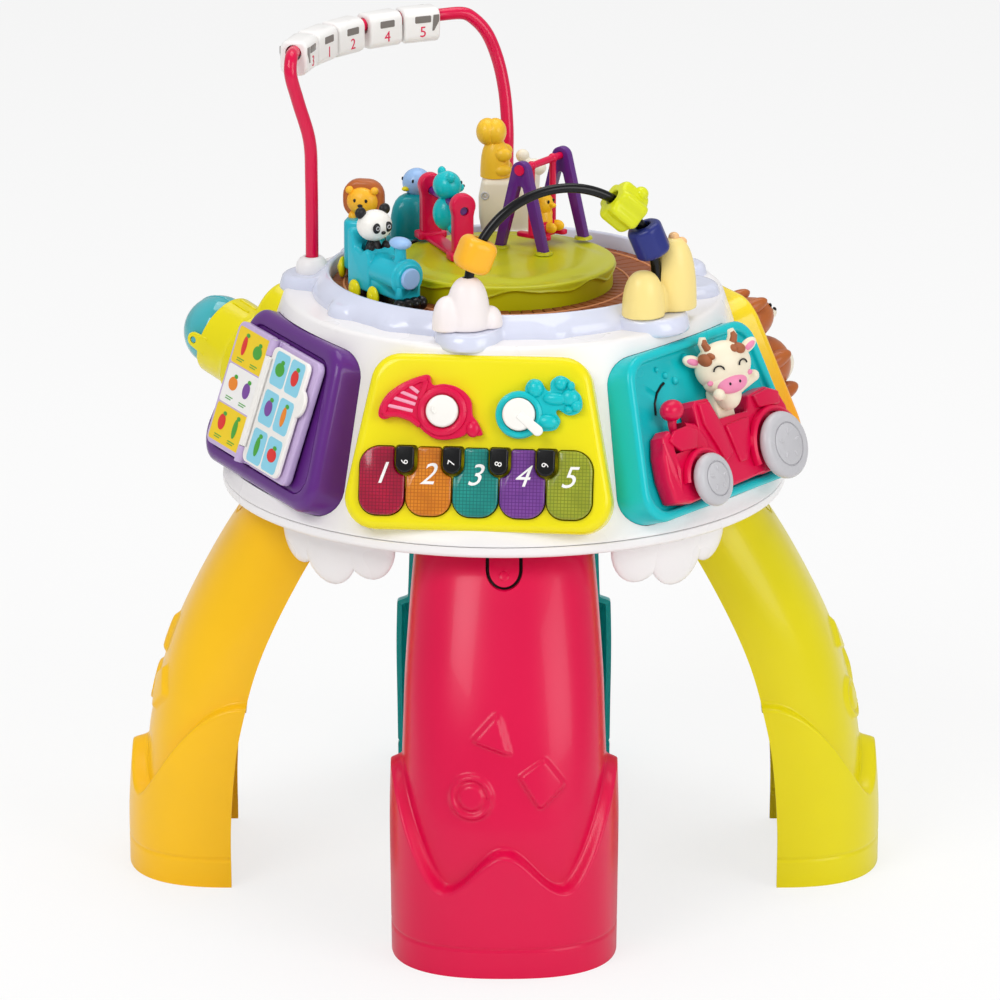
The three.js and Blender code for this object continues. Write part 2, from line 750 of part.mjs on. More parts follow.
// Moves a shape that stands on the deck into the wire's own group, and clears the deck's slope.
function deckPost(x, ...shapes) {
  const seatHeight = deck.lobeTop + gap;
  const slope = deckSlope(gap).translate(-wire.middle.x, -wire.middle.y, 0).rotateZ(-wire.turn);
  const foot = wire.springing - wire.footDepth - gap;
  const socket = disc(wire.radius + gap, foot, wire.springing + wire.radius, 12).translate(x, 0, 0);
  const mouth = disc(wire.radius * 1.6, wire.springing, wire.springing + wire.loopRadius, 12).translate(x, 0, 0);
  const below = box(4 * wire.loopRadius, 4 * wire.loopRadius, seatHeight, 0, 0, seatHeight / 2);
  return cut(join(...shapes), slope, socket, mouth, below);
}

function cloudPost() {
  const x = -wire.loopRadius;
  const base = deck.lobeTop;
  return deckPost(x,
    dome(13.5, 12, 35, x - 1, 0, base, 12),
    dome(9, 9, 16, x + 12, 0, base, 10),
    dome(8, 8, 18, x - 11, 1, base, 10));
}

function hillPost() {
  const x = wire.loopRadius;
  const base = deck.lobeTop;
  return deckPost(x,
    dome(12.5, 12.5, 29, x - 11, -7, base, 12),
    dome(12.5, 12.5, 45, x + 14, 5, base, 12),
    dome(8, 8, 20, x, 0, base, 10));
}

const bead = { boreRadius: 4.8, halfLength: 10.5 };

function beadBody(radius, sides) {
  const h = bead.halfLength;
  const c = radius / 4;
  return turned([
    [bead.boreRadius, -h],
    [radius - c, -h],
    [radius, -h + c],
    [radius, h - c],
    [radius - c, h],
    [bead.boreRadius, h],
    [bead.boreRadius, -h],
  ], sides);
}

function petalBead(petals, radius) {
  const petal = { radius: radius * 0.55, distance: radius * 0.6 };
  const sides = [...Array(petals).keys()].map((i) =>
    turned([
      [0, -bead.halfLength],
      [petal.radius * 0.6, -bead.halfLength],
      [petal.radius, 0],
      [petal.radius * 0.6, bead.halfLength],
      [0, bead.halfLength],
    ], 8).translate(petal.distance, 0, 0).rotateZ((i / petals) * 2 * Math.PI));
  const bore = disc(bead.boreRadius, -2 * bead.halfLength, 2 * bead.halfLength, 14);
  return cut(join(disc(radius * 0.8, -bead.halfLength * 0.8, bead.halfLength * 0.8, 12), ...sides), bore);
}

function knobBead() {
  const radius = 12;
  const knob = ball(4.5, radius, 0, -bead.halfLength / 3, 8);
  return join(petalBead(5, radius), knob);
}

// A group that turns a bead round the wire's loop; its Z follows the wire.
function onWire(parent, angle) {
  const arm = group(parent);
  arm.position.set(0, 0, wire.springing);
  arm.rotation.y = -angle;
  const seatOnWire = group(arm);
  seatOnWire.position.set(wire.loopRadius, 0, 0);
  return seatOnWire;
}

// ---- Arch with five sliding train beads ----
const archStations = [
  { turn: 0, radius: 0, rise: -140 },
  { turn: 0, radius: 0, rise: -80 },
  { turn: 0.2, radius: 1, rise: -54 },
  { turn: 2, radius: 7.5, rise: -28 },
  { turn: 3.5, radius: 11.5, rise: -10 },
  { turn: 1.5, radius: 11.5, rise: -1.5 },
];

function archCurve() {
  const low = deck.postRadius;
  const foot = deck.lobeTop - arch.footDepth;
  const points = [];
  const add = (turn, radius, height) => points.push(new THREE.Vector3(...planPoint(radius, turn), height));
  add(arch.leftTurn, low, foot);
  archStations.slice(1).forEach((station) => {
    const reach = Math.min(low + station.radius, arch.barRadius);
    add(arch.leftTurn + station.turn * rad, reach, arch.barHeight + station.rise);
  });
  const barStart = -100 * rad;
  const barEnd = -169 * rad;
  const barPoints = 9;
  for (let i = 0; i <= barPoints; i++) {
    add(barStart + (i / barPoints) * (barEnd - barStart), arch.barRadius, arch.barHeight);
  }
  const back = arch.backTurn - 2 * Math.PI;
  const bend = [
    { turn: 9.6, radius: 11.5, rise: -3 },
    { turn: 6, radius: 11.5, rise: -12 },
    { turn: 3, radius: 11.5, rise: -28 },
    { turn: 1, radius: 9, rise: -48 },
    { turn: 0, radius: 3, rise: -72 },
    { turn: 0, radius: 0, rise: -92 },
  ];
  bend.forEach((station) => {
    const reach = Math.min(low + station.radius, arch.barRadius);
    add(back + station.turn * rad, reach, arch.barHeight + station.rise);
  });
  add(back, low, foot);
  return new THREE.CatmullRomCurve3(points, false, "centripetal");
}

const trainBead = { length: 25, width: 18, height: 22, boreRadius: 5.2, boreDrop: 7.6, hang: 0.9 };
const trainBeadTurns = [-106, -118, -130, -143.6, -155.6];

// One carriage of the bead train: a box with rounded edges, bored along its length.
function trainBeadSolid(nose) {
  const { length, width, height, boreRadius, boreDrop } = trainBead;
  const round = 5;
  const side = plateOutline(width, width - 2, height, round);
  const bodyShape = slab(side, -length / 2, length / 2).translate(0, boreDrop - height / 2, 0);
  const bore = disc(boreRadius, -length, length, 16);
  const carriage = cut(bodyShape, bore);
  if (nose === 0) return carriage;
  const wedge = box(2 * width, height, length, 0, -height, nose * length / 2)
    .rotateX(-nose * 28 * rad)
    .translate(0, 0, nose * length / 2);
  return cut(carriage, wedge);
}

function onArch(parent, turn) {
  const turning = group(parent);
  turning.rotation.z = turn;
  const spot = group(turning);
  spot.position.set(0, -arch.barRadius, arch.barHeight - trainBead.hang);
  spot.rotation.set(upright, 0, 0);
  const along = group(spot);
  along.rotation.y = upright;
  return along;
}

// ---- Piano panel ----
const keys = {
  count: 5,
  pitch: 28.2,
  left: -71.7,
  top: -1.9,
  bottom: -43,
  proud: 3.5,
  under: -4.5,
  slit: 1,
  pocketDepth: 13.5,
  capWidth: 13,
  capHeight: 17.5,
  capMiddle: -12,
  capTop: 9,
  capUnder: 4.6,
  pegHalf: 1.8,
  pegHeight: 5,
};
const keyRowWidth = keys.count * keys.pitch;

function pianoPanel() {
  const middle = (keys.top + keys.bottom) / 2;
  const pocket = box(keyRowWidth + keys.slit, keys.top - keys.bottom + 2 * keys.slit, keys.pocketDepth + overrun,
    keys.left + keyRowWidth / 2, middle, (overrun - keys.pocketDepth) / 2);
  const wells = [hornButton, dial].map((well) =>
    disc(well.radius + gap, -well.depth - well.travel - 2 * gap, overrun, 20).translate(well.x, well.y, 0));
  return cut(facePlate(0, -panel.thickness, 0), pocket, ...wells);
}

function pianoKey(place) {
  const left = keys.left + place * keys.pitch + keys.slit / 2;
  const right = left + keys.pitch - keys.slit;
  const c = 5;
  const shape = outline([
    [left, keys.top],
    [left, keys.bottom + c],
    [left + c, keys.bottom],
    [right - c, keys.bottom],
    [right, keys.bottom + c],
    [right, keys.top],
  ]);
  const notches = [place, place + 1].map((edge) =>
    box(2 * (keys.pegHalf + keys.slit), keys.pegHeight + 2 * keys.slit, panel.thickness,
      keys.left + edge * keys.pitch, keys.capMiddle, 0));
  return cut(slab(shape, keys.under, keys.proud), ...notches);
}

function blackKeys() {
  const stripTop = -keys.pocketDepth + 3;
  const stripBottom = -keys.pocketDepth + gap;
  const spots = [1, 2, 3, 4].map((edge) => keys.left + edge * keys.pitch);
  const caps = spots.map((x) => slab(plateOutline(keys.capWidth, keys.capWidth, keys.capHeight, 4), keys.capUnder, keys.capTop)
    .translate(x, keys.capMiddle, 0));
  const pegs = spots.map((x) =>
    box(2 * keys.pegHalf, keys.pegHeight, keys.capUnder - stripBottom + gap, x, keys.capMiddle,
      (keys.capUnder + gap + stripBottom) / 2));
  const stripLength = 3 * keys.pitch + keys.capWidth;
  const strip = box(stripLength, keys.pegHeight, stripTop - stripBottom,
    keys.left + keyRowWidth / 2, keys.capMiddle, (stripTop + stripBottom) / 2);
  return join(strip, ...pegs, ...caps);
}

const hornButton = { x: -22.2, y: 19.8, radius: 9.7, depth: 9, top: 10, travel: 3 };
const dial = { x: 23.9, y: 19, radius: 9.8, depth: 9, top: 9, travel: 0 };
const relief = { horn: 7, animal: 6 };

function hornRelief() {
  const shape = outline([
    [-60.5, 16], [-60, 22], [-56, 29], [-50, 34], [-43, 38], [-35, 41], [-29.5, 41.6], [-28.5, 35.6], [-22, 36.2],
    [-15, 35], [-9, 31.5], [-5, 26], [-4, 18], [-1, 14], [2.6, 7.5], [1.5, 5.6], [-3, 5.6], [-6.5, 7], [-11, 4.5],
    [-19, 2.6], [-26, 3], [-32, 6.5], [-38, 11.5], [-45, 14.7], [-52, 15.7], [-57, 14.2],
  ]);
  const hole = disc(hornButton.radius + gap, -overrun, relief.horn + overrun, 20)
    .translate(hornButton.x, hornButton.y, 0);
  return cut(slab(shape, gap, relief.horn), hole);
}

function hornButtonSolid() {
  return button(hornButton.radius, -hornButton.depth, hornButton.top, 2, 20).translate(hornButton.x, hornButton.y, 0);
}

function animalRelief() {
  const round = { radius: 14.4 };
  const figure = outline([
    [28, 31], [28, 37], [32, 40], [37, 39], [40, 33.5], [41.5, 33.5], [42, 39.5], [48.5, 43], [55, 39.5], [57, 34],
    [60.5, 31], [61.5, 23.5], [59, 21], [54, 19], [47.5, 22.5], [46, 20.5], [48.6, 16], [46, 10.6], [40, 9.5], [34, 11],
  ]);
  const hole = disc(dial.radius + gap, -overrun, relief.animal + overrun, 20).translate(dial.x, dial.y, 0);
  return cut(join(disc(round.radius, gap, relief.animal, 20).translate(dial.x, dial.y, 0),
    slab(figure, gap, relief.animal)), hole);
}

function dialSwitch() {
  const lever = { length: 17, width: 5, turn: -39 * rad };
  const knob = button(dial.radius, -dial.depth, dial.top, 1.5, 20);
  const arm = box(lever.length, lever.width, dial.top - relief.animal - gap, lever.length / 2, 0,
    (dial.top + relief.animal + gap) / 2).rotateZ(lever.turn);
  return moved(join(knob, arm), dial.x, dial.y, 0);
}

// ---- Tractor panel ----
const wheel = {
  small: { x: -30, y: -34, radius: 16.3 },
  large: { x: 45, y: -29.5, radius: 20.8 },
  inner: 10.6,
  outer: 19,
  axleRadius: 3,
};
const tractorFront = 10;
const cowPivot = { x: 13.5, y: -6, radius: 3, reach: 13 };
const cowRoom = { width: 32, bottom: -16, top: 14, front: 4.2 };
const lever = { x: -42, y: -7, radius: 2.6, rise: 20, ballRadius: 7, height: 4, pocket: 16, pinRadius: 1.8, pinReach: 5.4 };

function tractorPanel() {
  const floor = -panel.recess;
  const recess = facePlate(panel.border, floor, overrun);
  const pin = disc(cowPivot.radius + gap, -cowPivot.reach - gap, overrun, 12).translate(cowPivot.x, cowPivot.y, 0);
  return cut(facePlate(0, -panel.thickness, 0), recess, pin);
}

function tractorBody() {
  const floor = -panel.recess + gap;
  const side = outline([
    [-60, -38], [-62, -24], [-58, -5], [-49, 3], [-34, 4], [-20, 0], [-20, 13], [-5, 12], [-1, -2],
    [28, -3], [34, 6], [52, 7], [63, 2], [66.5, -8], [66.5, -24], [44, -42], [8, -43],
  ]);
  const axles = [wheel.small, wheel.large].map((at) =>
    disc(wheel.axleRadius + gap, -overrun, tractorFront + overrun, 14).translate(at.x, at.y, 0));
  const roomBack = floor - overrun;
  const seatRoom = box(cowRoom.width, cowRoom.top - cowRoom.bottom, cowRoom.front - roomBack, cowPivot.x,
    (cowRoom.top + cowRoom.bottom) / 2, (cowRoom.front + roomBack) / 2);
  const leverRoom = box(lever.pocket, lever.pocket + 2 * overrun, 2 * lever.height, lever.x, lever.y + lever.pocket / 3,
    lever.height);
  const pinReach = lever.pinReach + gap;
  const pinBore = disc(lever.pinRadius + gap, lever.height - pinReach, lever.height + pinReach, 12)
    .translate(lever.x, lever.y, 0);
  return cut(slab(side, floor, tractorFront), ...axles, seatRoom, leverRoom, pinBore);
}

function tractorWheel(at) {
  const rim = 2;
  const tyre = button(at.radius, wheel.inner, wheel.outer, rim, 24);
  const axle = disc(wheel.axleRadius, -overrun + gap, wheel.inner + rim, 14);
  return join(tyre, axle);
}

function cowSolid() {
  const floor = -panel.recess + gap;
  const torso = { half: 9, bottom: -10, top: 16, front: 3.5 };
  const head = { y: 27.5, height: 8.5, rx: 18.5, ry: 15.5, rz: 12 };
  const slabOfTorso = box(2 * torso.half, torso.top - torso.bottom, torso.front - floor,
    0, (torso.top + torso.bottom) / 2, (torso.front + floor) / 2);
  const neck = egg(torso.half, torso.half, 10, 0, torso.top - 1, 8);
  const face = egg(head.rx, head.ry, head.rz, 0, head.y, head.height, 10);
  const sides = [-1, 1];
  const ears = sides.map((side) => egg(6, 4, 3, side * (head.rx + 1), head.y + 3, head.height, 6));
  const horns = sides.map((side) => egg(3, 6, 3, side * head.rx * 0.55, head.y + head.ry, head.height, 6));
  const pin = disc(cowPivot.radius, -cowPivot.reach, floor + gap, 12).translate(0, cowPivot.y, 0);
  return moved(join(slabOfTorso, neck, face, ...ears, ...horns, pin), cowPivot.x, 0, 0);
}

function chimneyLever() {
  const stem = bar([0, 0, lever.height], [0, lever.rise, lever.height], lever.radius, 10);
  const boss = disc(2 * lever.radius, lever.height - lever.radius, lever.height + lever.radius, 14);
  const knob = ball(lever.ballRadius, 0, lever.rise, lever.height + lever.radius, 12);
  const pin = disc(lever.pinRadius, lever.height - lever.pinReach, lever.height + lever.pinReach, 12);
  return moved(join(stem, boss, knob, pin), lever.x, lever.y, 0);
}

// ---- Book panel ----
const book = {
  left: -62, right: 54, half: 39, top: 5.2, leftTop: 5.8,
  spine: -6, axis: 8, barrel: 3.2, pin: 1.6, lugInner: 29,
  pageRight: 49, pageHalf: 36.5, pageUnder: 6.6, pageTop: 9.6,
};

function recessedPanel() {
  return cut(facePlate(0, -panel.thickness, 0), facePlate(panel.border, -panel.recess, overrun));
}

function bookBase() {
  const floor = gap;
  const width = book.right - book.left;
  const middle = (book.right + book.left) / 2;
  const tray = box(width, 2 * book.half, book.top - floor, middle, 0, (book.top + floor) / 2);
  const pageEdge = book.spine - 2 * book.barrel;
  const leftWidth = pageEdge - book.left;
  const leftPage = box(leftWidth, 2 * book.half, book.leftTop - floor, book.left + leftWidth / 2, 0,
    (book.leftTop + floor) / 2);
  const lugs = [-1, 1].map((side) =>
    join(
      bar([book.spine, side * book.lugInner, book.axis], [book.spine, side * book.half, book.axis], book.barrel, 12),
      box(2 * book.barrel, book.half - book.lugInner, book.axis - floor, book.spine,
        side * (book.half + book.lugInner) / 2, (book.axis + floor) / 2),
    ));
  const bore = bar([book.spine, -book.half - overrun, book.axis], [book.spine, book.half + overrun, book.axis],
    book.pin + gap, 12);
  const barrelRoom = bar([book.spine, -book.lugInner, book.axis], [book.spine, book.lugInner, book.axis],
    book.barrel + 2 * gap, 12);
  return cut(join(tray, leftPage, ...lugs), bore, barrelRoom);
}

function bookPage() {
  const half = book.lugInner - gap;
  const barrel = bar([book.spine, -half, book.axis], [book.spine, half, book.axis], book.barrel, 12);
  const pin = bar([book.spine, -book.half, book.axis], [book.spine, book.half, book.axis], book.pin, 12);
  const clear = book.spine + book.barrel + 3 * gap;
  const sheet = box(book.pageRight - clear, 2 * book.pageHalf, book.pageTop - book.pageUnder,
    (book.pageRight + clear) / 2, 0, (book.pageTop + book.pageUnder) / 2);
  const web = box(2 * book.barrel, 2 * half, book.pageTop - book.pageUnder, book.spine + book.barrel, 0,
    (book.pageTop + book.pageUnder) / 2);
  const tab = button(9, book.pageUnder, book.pageTop, gap, 16).translate(book.pageRight - 2, 12, 0);
  return join(barrel, pin, sheet, web, tab);
}

// ---- Ball panel ----
const roller = { x: 54, y: 0, radius: 22.5, height: 28, wall: 2.7, tube: 34, pin: 2, slack: 0.7 };

function ballPanel() {
  const inner = roller.radius + roller.slack;
  const outer = inner + roller.wall;
  const spot = [roller.x, roller.y, 0];
  const bottom = roller.height - inner - roller.slack;
  const housing = disc(outer, -panel.recess, roller.tube, 24).translate(...spot);
  const hollow = disc(inner, bottom, roller.tube + overrun, 24).translate(...spot);
  const pins = bar([roller.x - outer - overrun, roller.y, roller.height], [roller.x + outer + overrun, roller.y, roller.height],
    roller.pin + gap, 12);
  return cut(join(facePlate(0, -panel.thickness, 0), housing), hollow, pins);
}

function rollerBall() {
  const half = roller.radius + roller.slack + roller.wall - gap;
  const axle = bar([-half, 0, 0], [half, 0, 0], roller.pin, 12);
  return moved(join(ball(roller.radius, 0, 0, 0, 16), axle), roller.x, roller.y, roller.height);
}

// ---- The two panels that the front view hides or shows edge on ----
function figurePanel() {
  const head = dome(15, 15, 9, 4, 24, -gap, 14);
  const trunk = dome(20, 20, 9, 0, -10, -gap, 14);
  return join(facePlate(0, -panel.thickness, 0), head, trunk);
}

// ---- Assembly ----
piece(table, "upper_housing", finish.white, upperHousing());
piece(table, "lower_housing", finish.white, lowerHousing());
piece(table, "deck_ring", finish.deck, deckRing());
piece(table, "track_ring", finish.floor, ring(track.boreRadius, deck.recessRadius - 2 * gap, trackBottom, trackTop, roundSides));
piece(table, "island", finish.lime, islandSolid());

const legLooks = [
  ["leg_front", finish.crimson],
  ["leg_right", finish.lime],
  ["leg_back", finish.darkTeal],
  ["leg_left", finish.orange],
];
const oneLeg = legSolid();
legLooks.forEach(([name, look], place) => {
  const standing = group(table);
  standing.rotation.z = place * 90 * rad;
  piece(standing, name, look, oneLeg);
});

const locoSpot = vehicleGroup(table, -55 * rad);
piece(locoSpot, "locomotive", finish.teal, locomotive());
piece(locoSpot, "panda", finish.white, moved(rider(10.5, 3.5), cabMiddle, 0, 0));
const lionSpot = vehicleGroup(table, -102 * rad);
piece(lionSpot, "lion_wagon", finish.teal, wagon());
piece(lionSpot, "lion", finish.orange, rider(11.5, 3));
piece(vehicleGroup(table, -140 * rad), "bird_wagon", finish.darkTeal, roundWagon());
const creamSpot = vehicleGroup(table, 178 * rad);
piece(creamSpot, "cream_wagon", finish.cream, creamWagon());
piece(creamSpot, "squirrel", finish.orange, squirrel());

const tumblerSpot = group(table);
tumblerSpot.position.set(tumbler.x, tumbler.y, 0);
tumblerSpot.rotation.z = tumbler.turn;
piece(tumblerSpot, "tumbler_bracket", finish.crimson, tumblerBracket());
const axleSpot = group(tumblerSpot);
axleSpot.position.z = island.top + tumbler.axleHeight;
piece(axleSpot, "tumbling_bear", finish.teal, tumblingBear());

const swingSpot = group(table);
swingSpot.position.set(swing.x, swing.y, 0);
swingSpot.rotation.z = swing.turn;
[["swing_frame_near", -1], ["swing_frame_far", 1]].forEach(([name, side]) => {
  const spot = group(swingSpot);
  spot.position.y = side * swing.span / 2;
  piece(spot, name, finish.purple, swingFrame());
});
const pivotSpot = group(swingSpot);
pivotSpot.position.z = island.top + gap + swing.height;
piece(pivotSpot, "swing_seat", finish.crimson, swingSeat());
piece(pivotSpot, "swing_chick", finish.orange, swingChick());

const wireSpot = group(table);
wireSpot.position.set(wire.middle.x, wire.middle.y, 0);
wireSpot.rotation.z = wire.turn;
piece(wireSpot, "bead_wire", finish.black, tube(wireCurve(), wire.radius, 26, 8));
piece(wireSpot, "cloud_post", finish.white, cloudPost());
piece(wireSpot, "hill_post", finish.hill, hillPost());
piece(onWire(wireSpot, 157 * rad), "orange_bead", finish.orange, petalBead(4, 11));
piece(onWire(wireSpot, 49 * rad), "lime_bead", finish.lime, knobBead());
piece(onWire(wireSpot, 23 * rad), "navy_bead", finish.navy, beadBody(11, 20));

piece(table, "arch_tube", finish.crimson, tube(archCurve(), arch.tubeRadius, 50, 8));
trainBeadTurns.forEach((turn, i) => {
  const nose = i === 0 ? 1 : i === trainBeadTurns.length - 1 ? -1 : 0;
  piece(onArch(table, turn * rad), `train_bead_${i + 1}`, finish.white, trainBeadSolid(nose));
});

const pianoFace = faceGroup(table, panelTurns[0]);
piece(pianoFace, "piano_panel", finish.limePanel, pianoPanel());
const keyLooks = [finish.crimson, finish.orange, finish.teal, finish.purple, finish.lime];
keyLooks.forEach((look, place) => piece(pianoFace, `piano_key_${place + 1}`, look, pianoKey(place)));
piece(pianoFace, "black_keys", finish.black, blackKeys());
piece(pianoFace, "horn_relief", finish.crimson, hornRelief());
piece(pianoFace, "horn_button", finish.white, hornButtonSolid());
piece(pianoFace, "animal_relief", finish.teal, animalRelief());
piece(pianoFace, "dial_switch", finish.white, dialSwitch());

const tractorFace = faceGroup(table, panelTurns[1]);
piece(tractorFace, "tractor_panel", finish.teal, tractorPanel());
piece(tractorFace, "tractor_body", finish.crimson, tractorBody());
piece(tractorFace, "cow", finish.cream, cowSolid());
piece(tractorFace, "chimney_lever", finish.crimson, chimneyLever());
[["small_wheel", wheel.small], ["large_wheel", wheel.large]].forEach(([name, at]) => {
  const spot = group(tractorFace);
  spot.position.set(at.x, at.y, 0);
  piece(spot, name, finish.grey, tractorWheel(at));
});

piece(faceGroup(table, panelTurns[2]), "figure_panel", finish.orange, figurePanel());
piece(faceGroup(table, panelTurns[3]), "back_panel", finish.crimson, recessedPanel());

const ballFace = faceGroup(table, panelTurns[4]);
piece(ballFace, "ball_panel", finish.limePanel, ballPanel());
piece(ballFace, "roller_ball", finish.teal, rollerBall());

const bookFace = faceGroup(table, panelTurns[5]);
piece(bookFace, "book_panel", finish.purple, facePlate(0, -panel.thickness, 0));
piece(bookFace, "book_base", finish.lilac, bookBase());
piece(bookFace, "book_page", finish.white, bookPage());

const bayBottom = body.rimBottom + body.wall / 2 + gap;
piece(table, "battery_door", finish.white, box(
  batteryBay.width - 2 * gap, batteryBay.depth - 2 * gap, batteryBay.lid, 0, 0, bayBottom + batteryBay.lid / 2));

const board = { width: 46, depth: 36, thickness: 1.6, x: 72, y: 72 };
const boardBottom = body.rimBottom + 1.5 * body.wall + gap;
piece(table, "circuit_board", finish.board, box(
  board.width, board.depth, board.thickness, 0, 0, boardBottom + board.thickness / 2)
  .rotateZ(45 * rad)
  .translate(board.x, board.y, 0));

export default table;
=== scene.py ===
# A round musical activity table for a toddler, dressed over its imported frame.
# Metres, +Z up. The front is -Y, and the origin is on the floor under the middle of the table.
import math

import bmesh
import bpy
from mathutils import Matrix, Vector


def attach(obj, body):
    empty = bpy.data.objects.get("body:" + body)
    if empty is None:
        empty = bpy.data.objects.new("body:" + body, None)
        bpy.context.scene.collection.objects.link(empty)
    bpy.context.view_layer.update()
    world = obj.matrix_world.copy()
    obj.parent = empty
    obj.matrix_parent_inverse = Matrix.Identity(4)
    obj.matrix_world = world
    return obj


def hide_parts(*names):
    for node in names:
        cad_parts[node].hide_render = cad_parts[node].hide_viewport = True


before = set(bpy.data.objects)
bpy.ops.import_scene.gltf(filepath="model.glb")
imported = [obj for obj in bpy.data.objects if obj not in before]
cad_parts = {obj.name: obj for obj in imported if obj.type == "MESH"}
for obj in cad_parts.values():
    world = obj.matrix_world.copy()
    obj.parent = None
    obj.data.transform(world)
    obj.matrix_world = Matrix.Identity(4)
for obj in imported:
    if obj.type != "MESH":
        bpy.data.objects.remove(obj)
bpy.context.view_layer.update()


# Studio: a white sweep with an even sky and two soft boxes, as for a shop photograph.
# The camera stands five metres off with a long lens, a little above the play deck.
def linear(shade):
    """Linear colour of an sRGB hex value."""
    channels = [int(shade[i:i + 2], 16) / 255 for i in (1, 3, 5)]
    return tuple(c / 12.92 if c <= 0.04045 else ((c + 0.055) / 1.055) ** 2.4 for c in channels) + (1.0,)


def add(tree, kind, settings=None, links=None):
    """Adds a shader node with its settings and the sockets that feed it."""
    node = tree.nodes.new("ShaderNode" + kind)
    for key, value in (settings or {}).items():
        if isinstance(key, int) or key in node.inputs:
            node.inputs[key].default_value = value
        else:
            setattr(node, key, value)
    for key, socket in (links or {}).items():
        tree.links.new(socket, node.inputs[key])
    return node


def bare_tree(holder):
    holder.use_nodes = True
    holder.node_tree.nodes.clear()
    return holder.node_tree


def linked(name, data):
    """A new object in the scene."""
    item = bpy.data.objects.new(name, data)
    bpy.context.scene.collection.objects.link(item)
    return item


def seen_directly(tree):
    """1 for rays that show a background: from the camera or through a clear part."""
    path = add(tree, "LightPath")
    return add(tree, "Math", {"operation": "MAXIMUM"},
               {0: path.outputs["Is Camera Ray"], 1: path.outputs["Is Transmission Ray"]}).outputs[0]


sky_level = 0.5
world = bpy.data.worlds.new("studio_sky")
bpy.context.scene.world = world
tree = bare_tree(world)
lit = add(tree, "Background", {"Color": (1, 1, 1, 1), "Strength": sky_level})
shown = add(tree, "Background", {"Color": (1, 1, 1, 1), "Strength": 1.0})
sky = add(tree, "MixShader", links={0: seen_directly(tree), 1: lit.outputs[0], 2: shown.outputs[0]})
add(tree, "OutputWorld", links={"Surface": sky.outputs[0]})

floor_size = 12.0
shape = bmesh.new()
bmesh.ops.create_grid(shape, x_segments=1, y_segments=1, size=floor_size / 2)
mesh = bpy.data.meshes.new("studio_floor")
shape.to_mesh(mesh)
shape.free()
floor = linked("studio_floor", mesh)
paper = bpy.data.materials.new("white_paper_sweep")
tree = bare_tree(paper)
matt = add(tree, "BsdfDiffuse", {"Color": linear("#f4f4f4")})
glow = add(tree, "Emission", {"Color": (1, 1, 1, 1), "Strength": 1.0})
glow_share = 0.75
share = add(tree, "Math", {"operation": "MULTIPLY", 1: glow_share}, {0: seen_directly(tree)})
paper_surface = add(tree, "MixShader", links={0: share.outputs[0], 1: matt.outputs[0], 2: glow.outputs[0]})
add(tree, "OutputMaterial", links={"Surface": paper_surface.outputs[0]})
mesh.materials.append(paper)

soft_boxes = {
    "key_box": {"place": (-1.6, -2.2, 2.6), "size": 1.6, "power": 43},
    "fill_box": {"place": (2.2, -2.0, 1.5), "size": 1.8, "power": 32},
    "top_box": {"place": (0.2, 0.6, 2.8), "size": 1.8, "power": 24},
}
aim_point = Vector((0, 0, 0.28))
for name, box in soft_boxes.items():
    lamp = bpy.data.lights.new(name, "AREA")
    lamp.size = box["size"]
    lamp.energy = box["power"]
    holder = linked(name, lamp)
    holder.location = box["place"]
    holder.rotation_euler = (aim_point - Vector(box["place"])).to_track_quat("-Z", "Y").to_euler()

camera_data = bpy.data.cameras.new("camera")
camera_data.lens = 290.2
camera_data.sensor_width = 36.0
camera = linked("camera", camera_data)
camera.location = (-0.0025, -4.794, 1.6506)
camera.rotation_euler = (math.radians(73.5), 0, 0)
bpy.context.scene.camera = camera
bpy.context.scene.view_settings.view_transform = "Standard"


# Upper housing: one white ABS cone, injection moulded in a polished tool, with six pockets
# for the activity panels. It snaps onto the rim below it.
def moulded_abs(name, shade, roughness=0.3, coat=0.1):
    """Gloss ABS: a clean highlight that ripples a little, and colour that drifts with the melt's flow."""
    melt_size = 0.045
    skin_size = 0.0012
    look = bpy.data.materials.new(name)
    tree = bare_tree(look)
    place = add(tree, "TexCoord").outputs["Object"]
    melt = add(tree, "TexNoise", {"Scale": 1 / melt_size, "Detail": 2.0}, {"Vector": place}).outputs["Fac"]
    skin = add(tree, "TexNoise", {"Scale": 1 / skin_size, "Detail": 1.0}, {"Vector": place}).outputs["Fac"]
    plain = linear(shade)
    deep = tuple(channel * 0.94 for channel in plain[:3]) + (1.0,)
    colour = add(tree, "MixRGB", {"Color1": deep, "Color2": plain}, {"Fac": melt})
    gloss = add(tree, "MapRange", {"To Min": roughness - 0.04, "To Max": roughness + 0.04}, {"Value": melt})
    ripple = add(tree, "Bump", {"Strength": 0.12, "Distance": 0.00004}, {"Height": skin})
    surface = add(tree, "BsdfPrincipled", {"IOR": 1.53, "Specular IOR Level": 0.26, "Coat Weight": coat,
                                           "Coat Roughness": 0.06},
                  {"Base Color": colour.outputs[0], "Roughness": gloss.outputs[0],
                   "Normal": ripple.outputs[0]})
    add(tree, "OutputMaterial", links={"Surface": surface.outputs[0]})
    return look


shift = Matrix.Translation


def turned(degrees, axis="Z"):
    return Matrix.Rotation(math.radians(degrees), 4, axis)


def pour(shape, made, place):
    """Adds a finished bmesh to a shape, at its place."""
    made.transform(place)
    if place.determinant() < 0:
        bmesh.ops.reverse_faces(made, faces=made.faces)
    carrier = bpy.data.meshes.new("carrier")
    made.to_mesh(carrier)
    made.free()
    shape.from_mesh(carrier)
    bpy.data.meshes.remove(carrier)


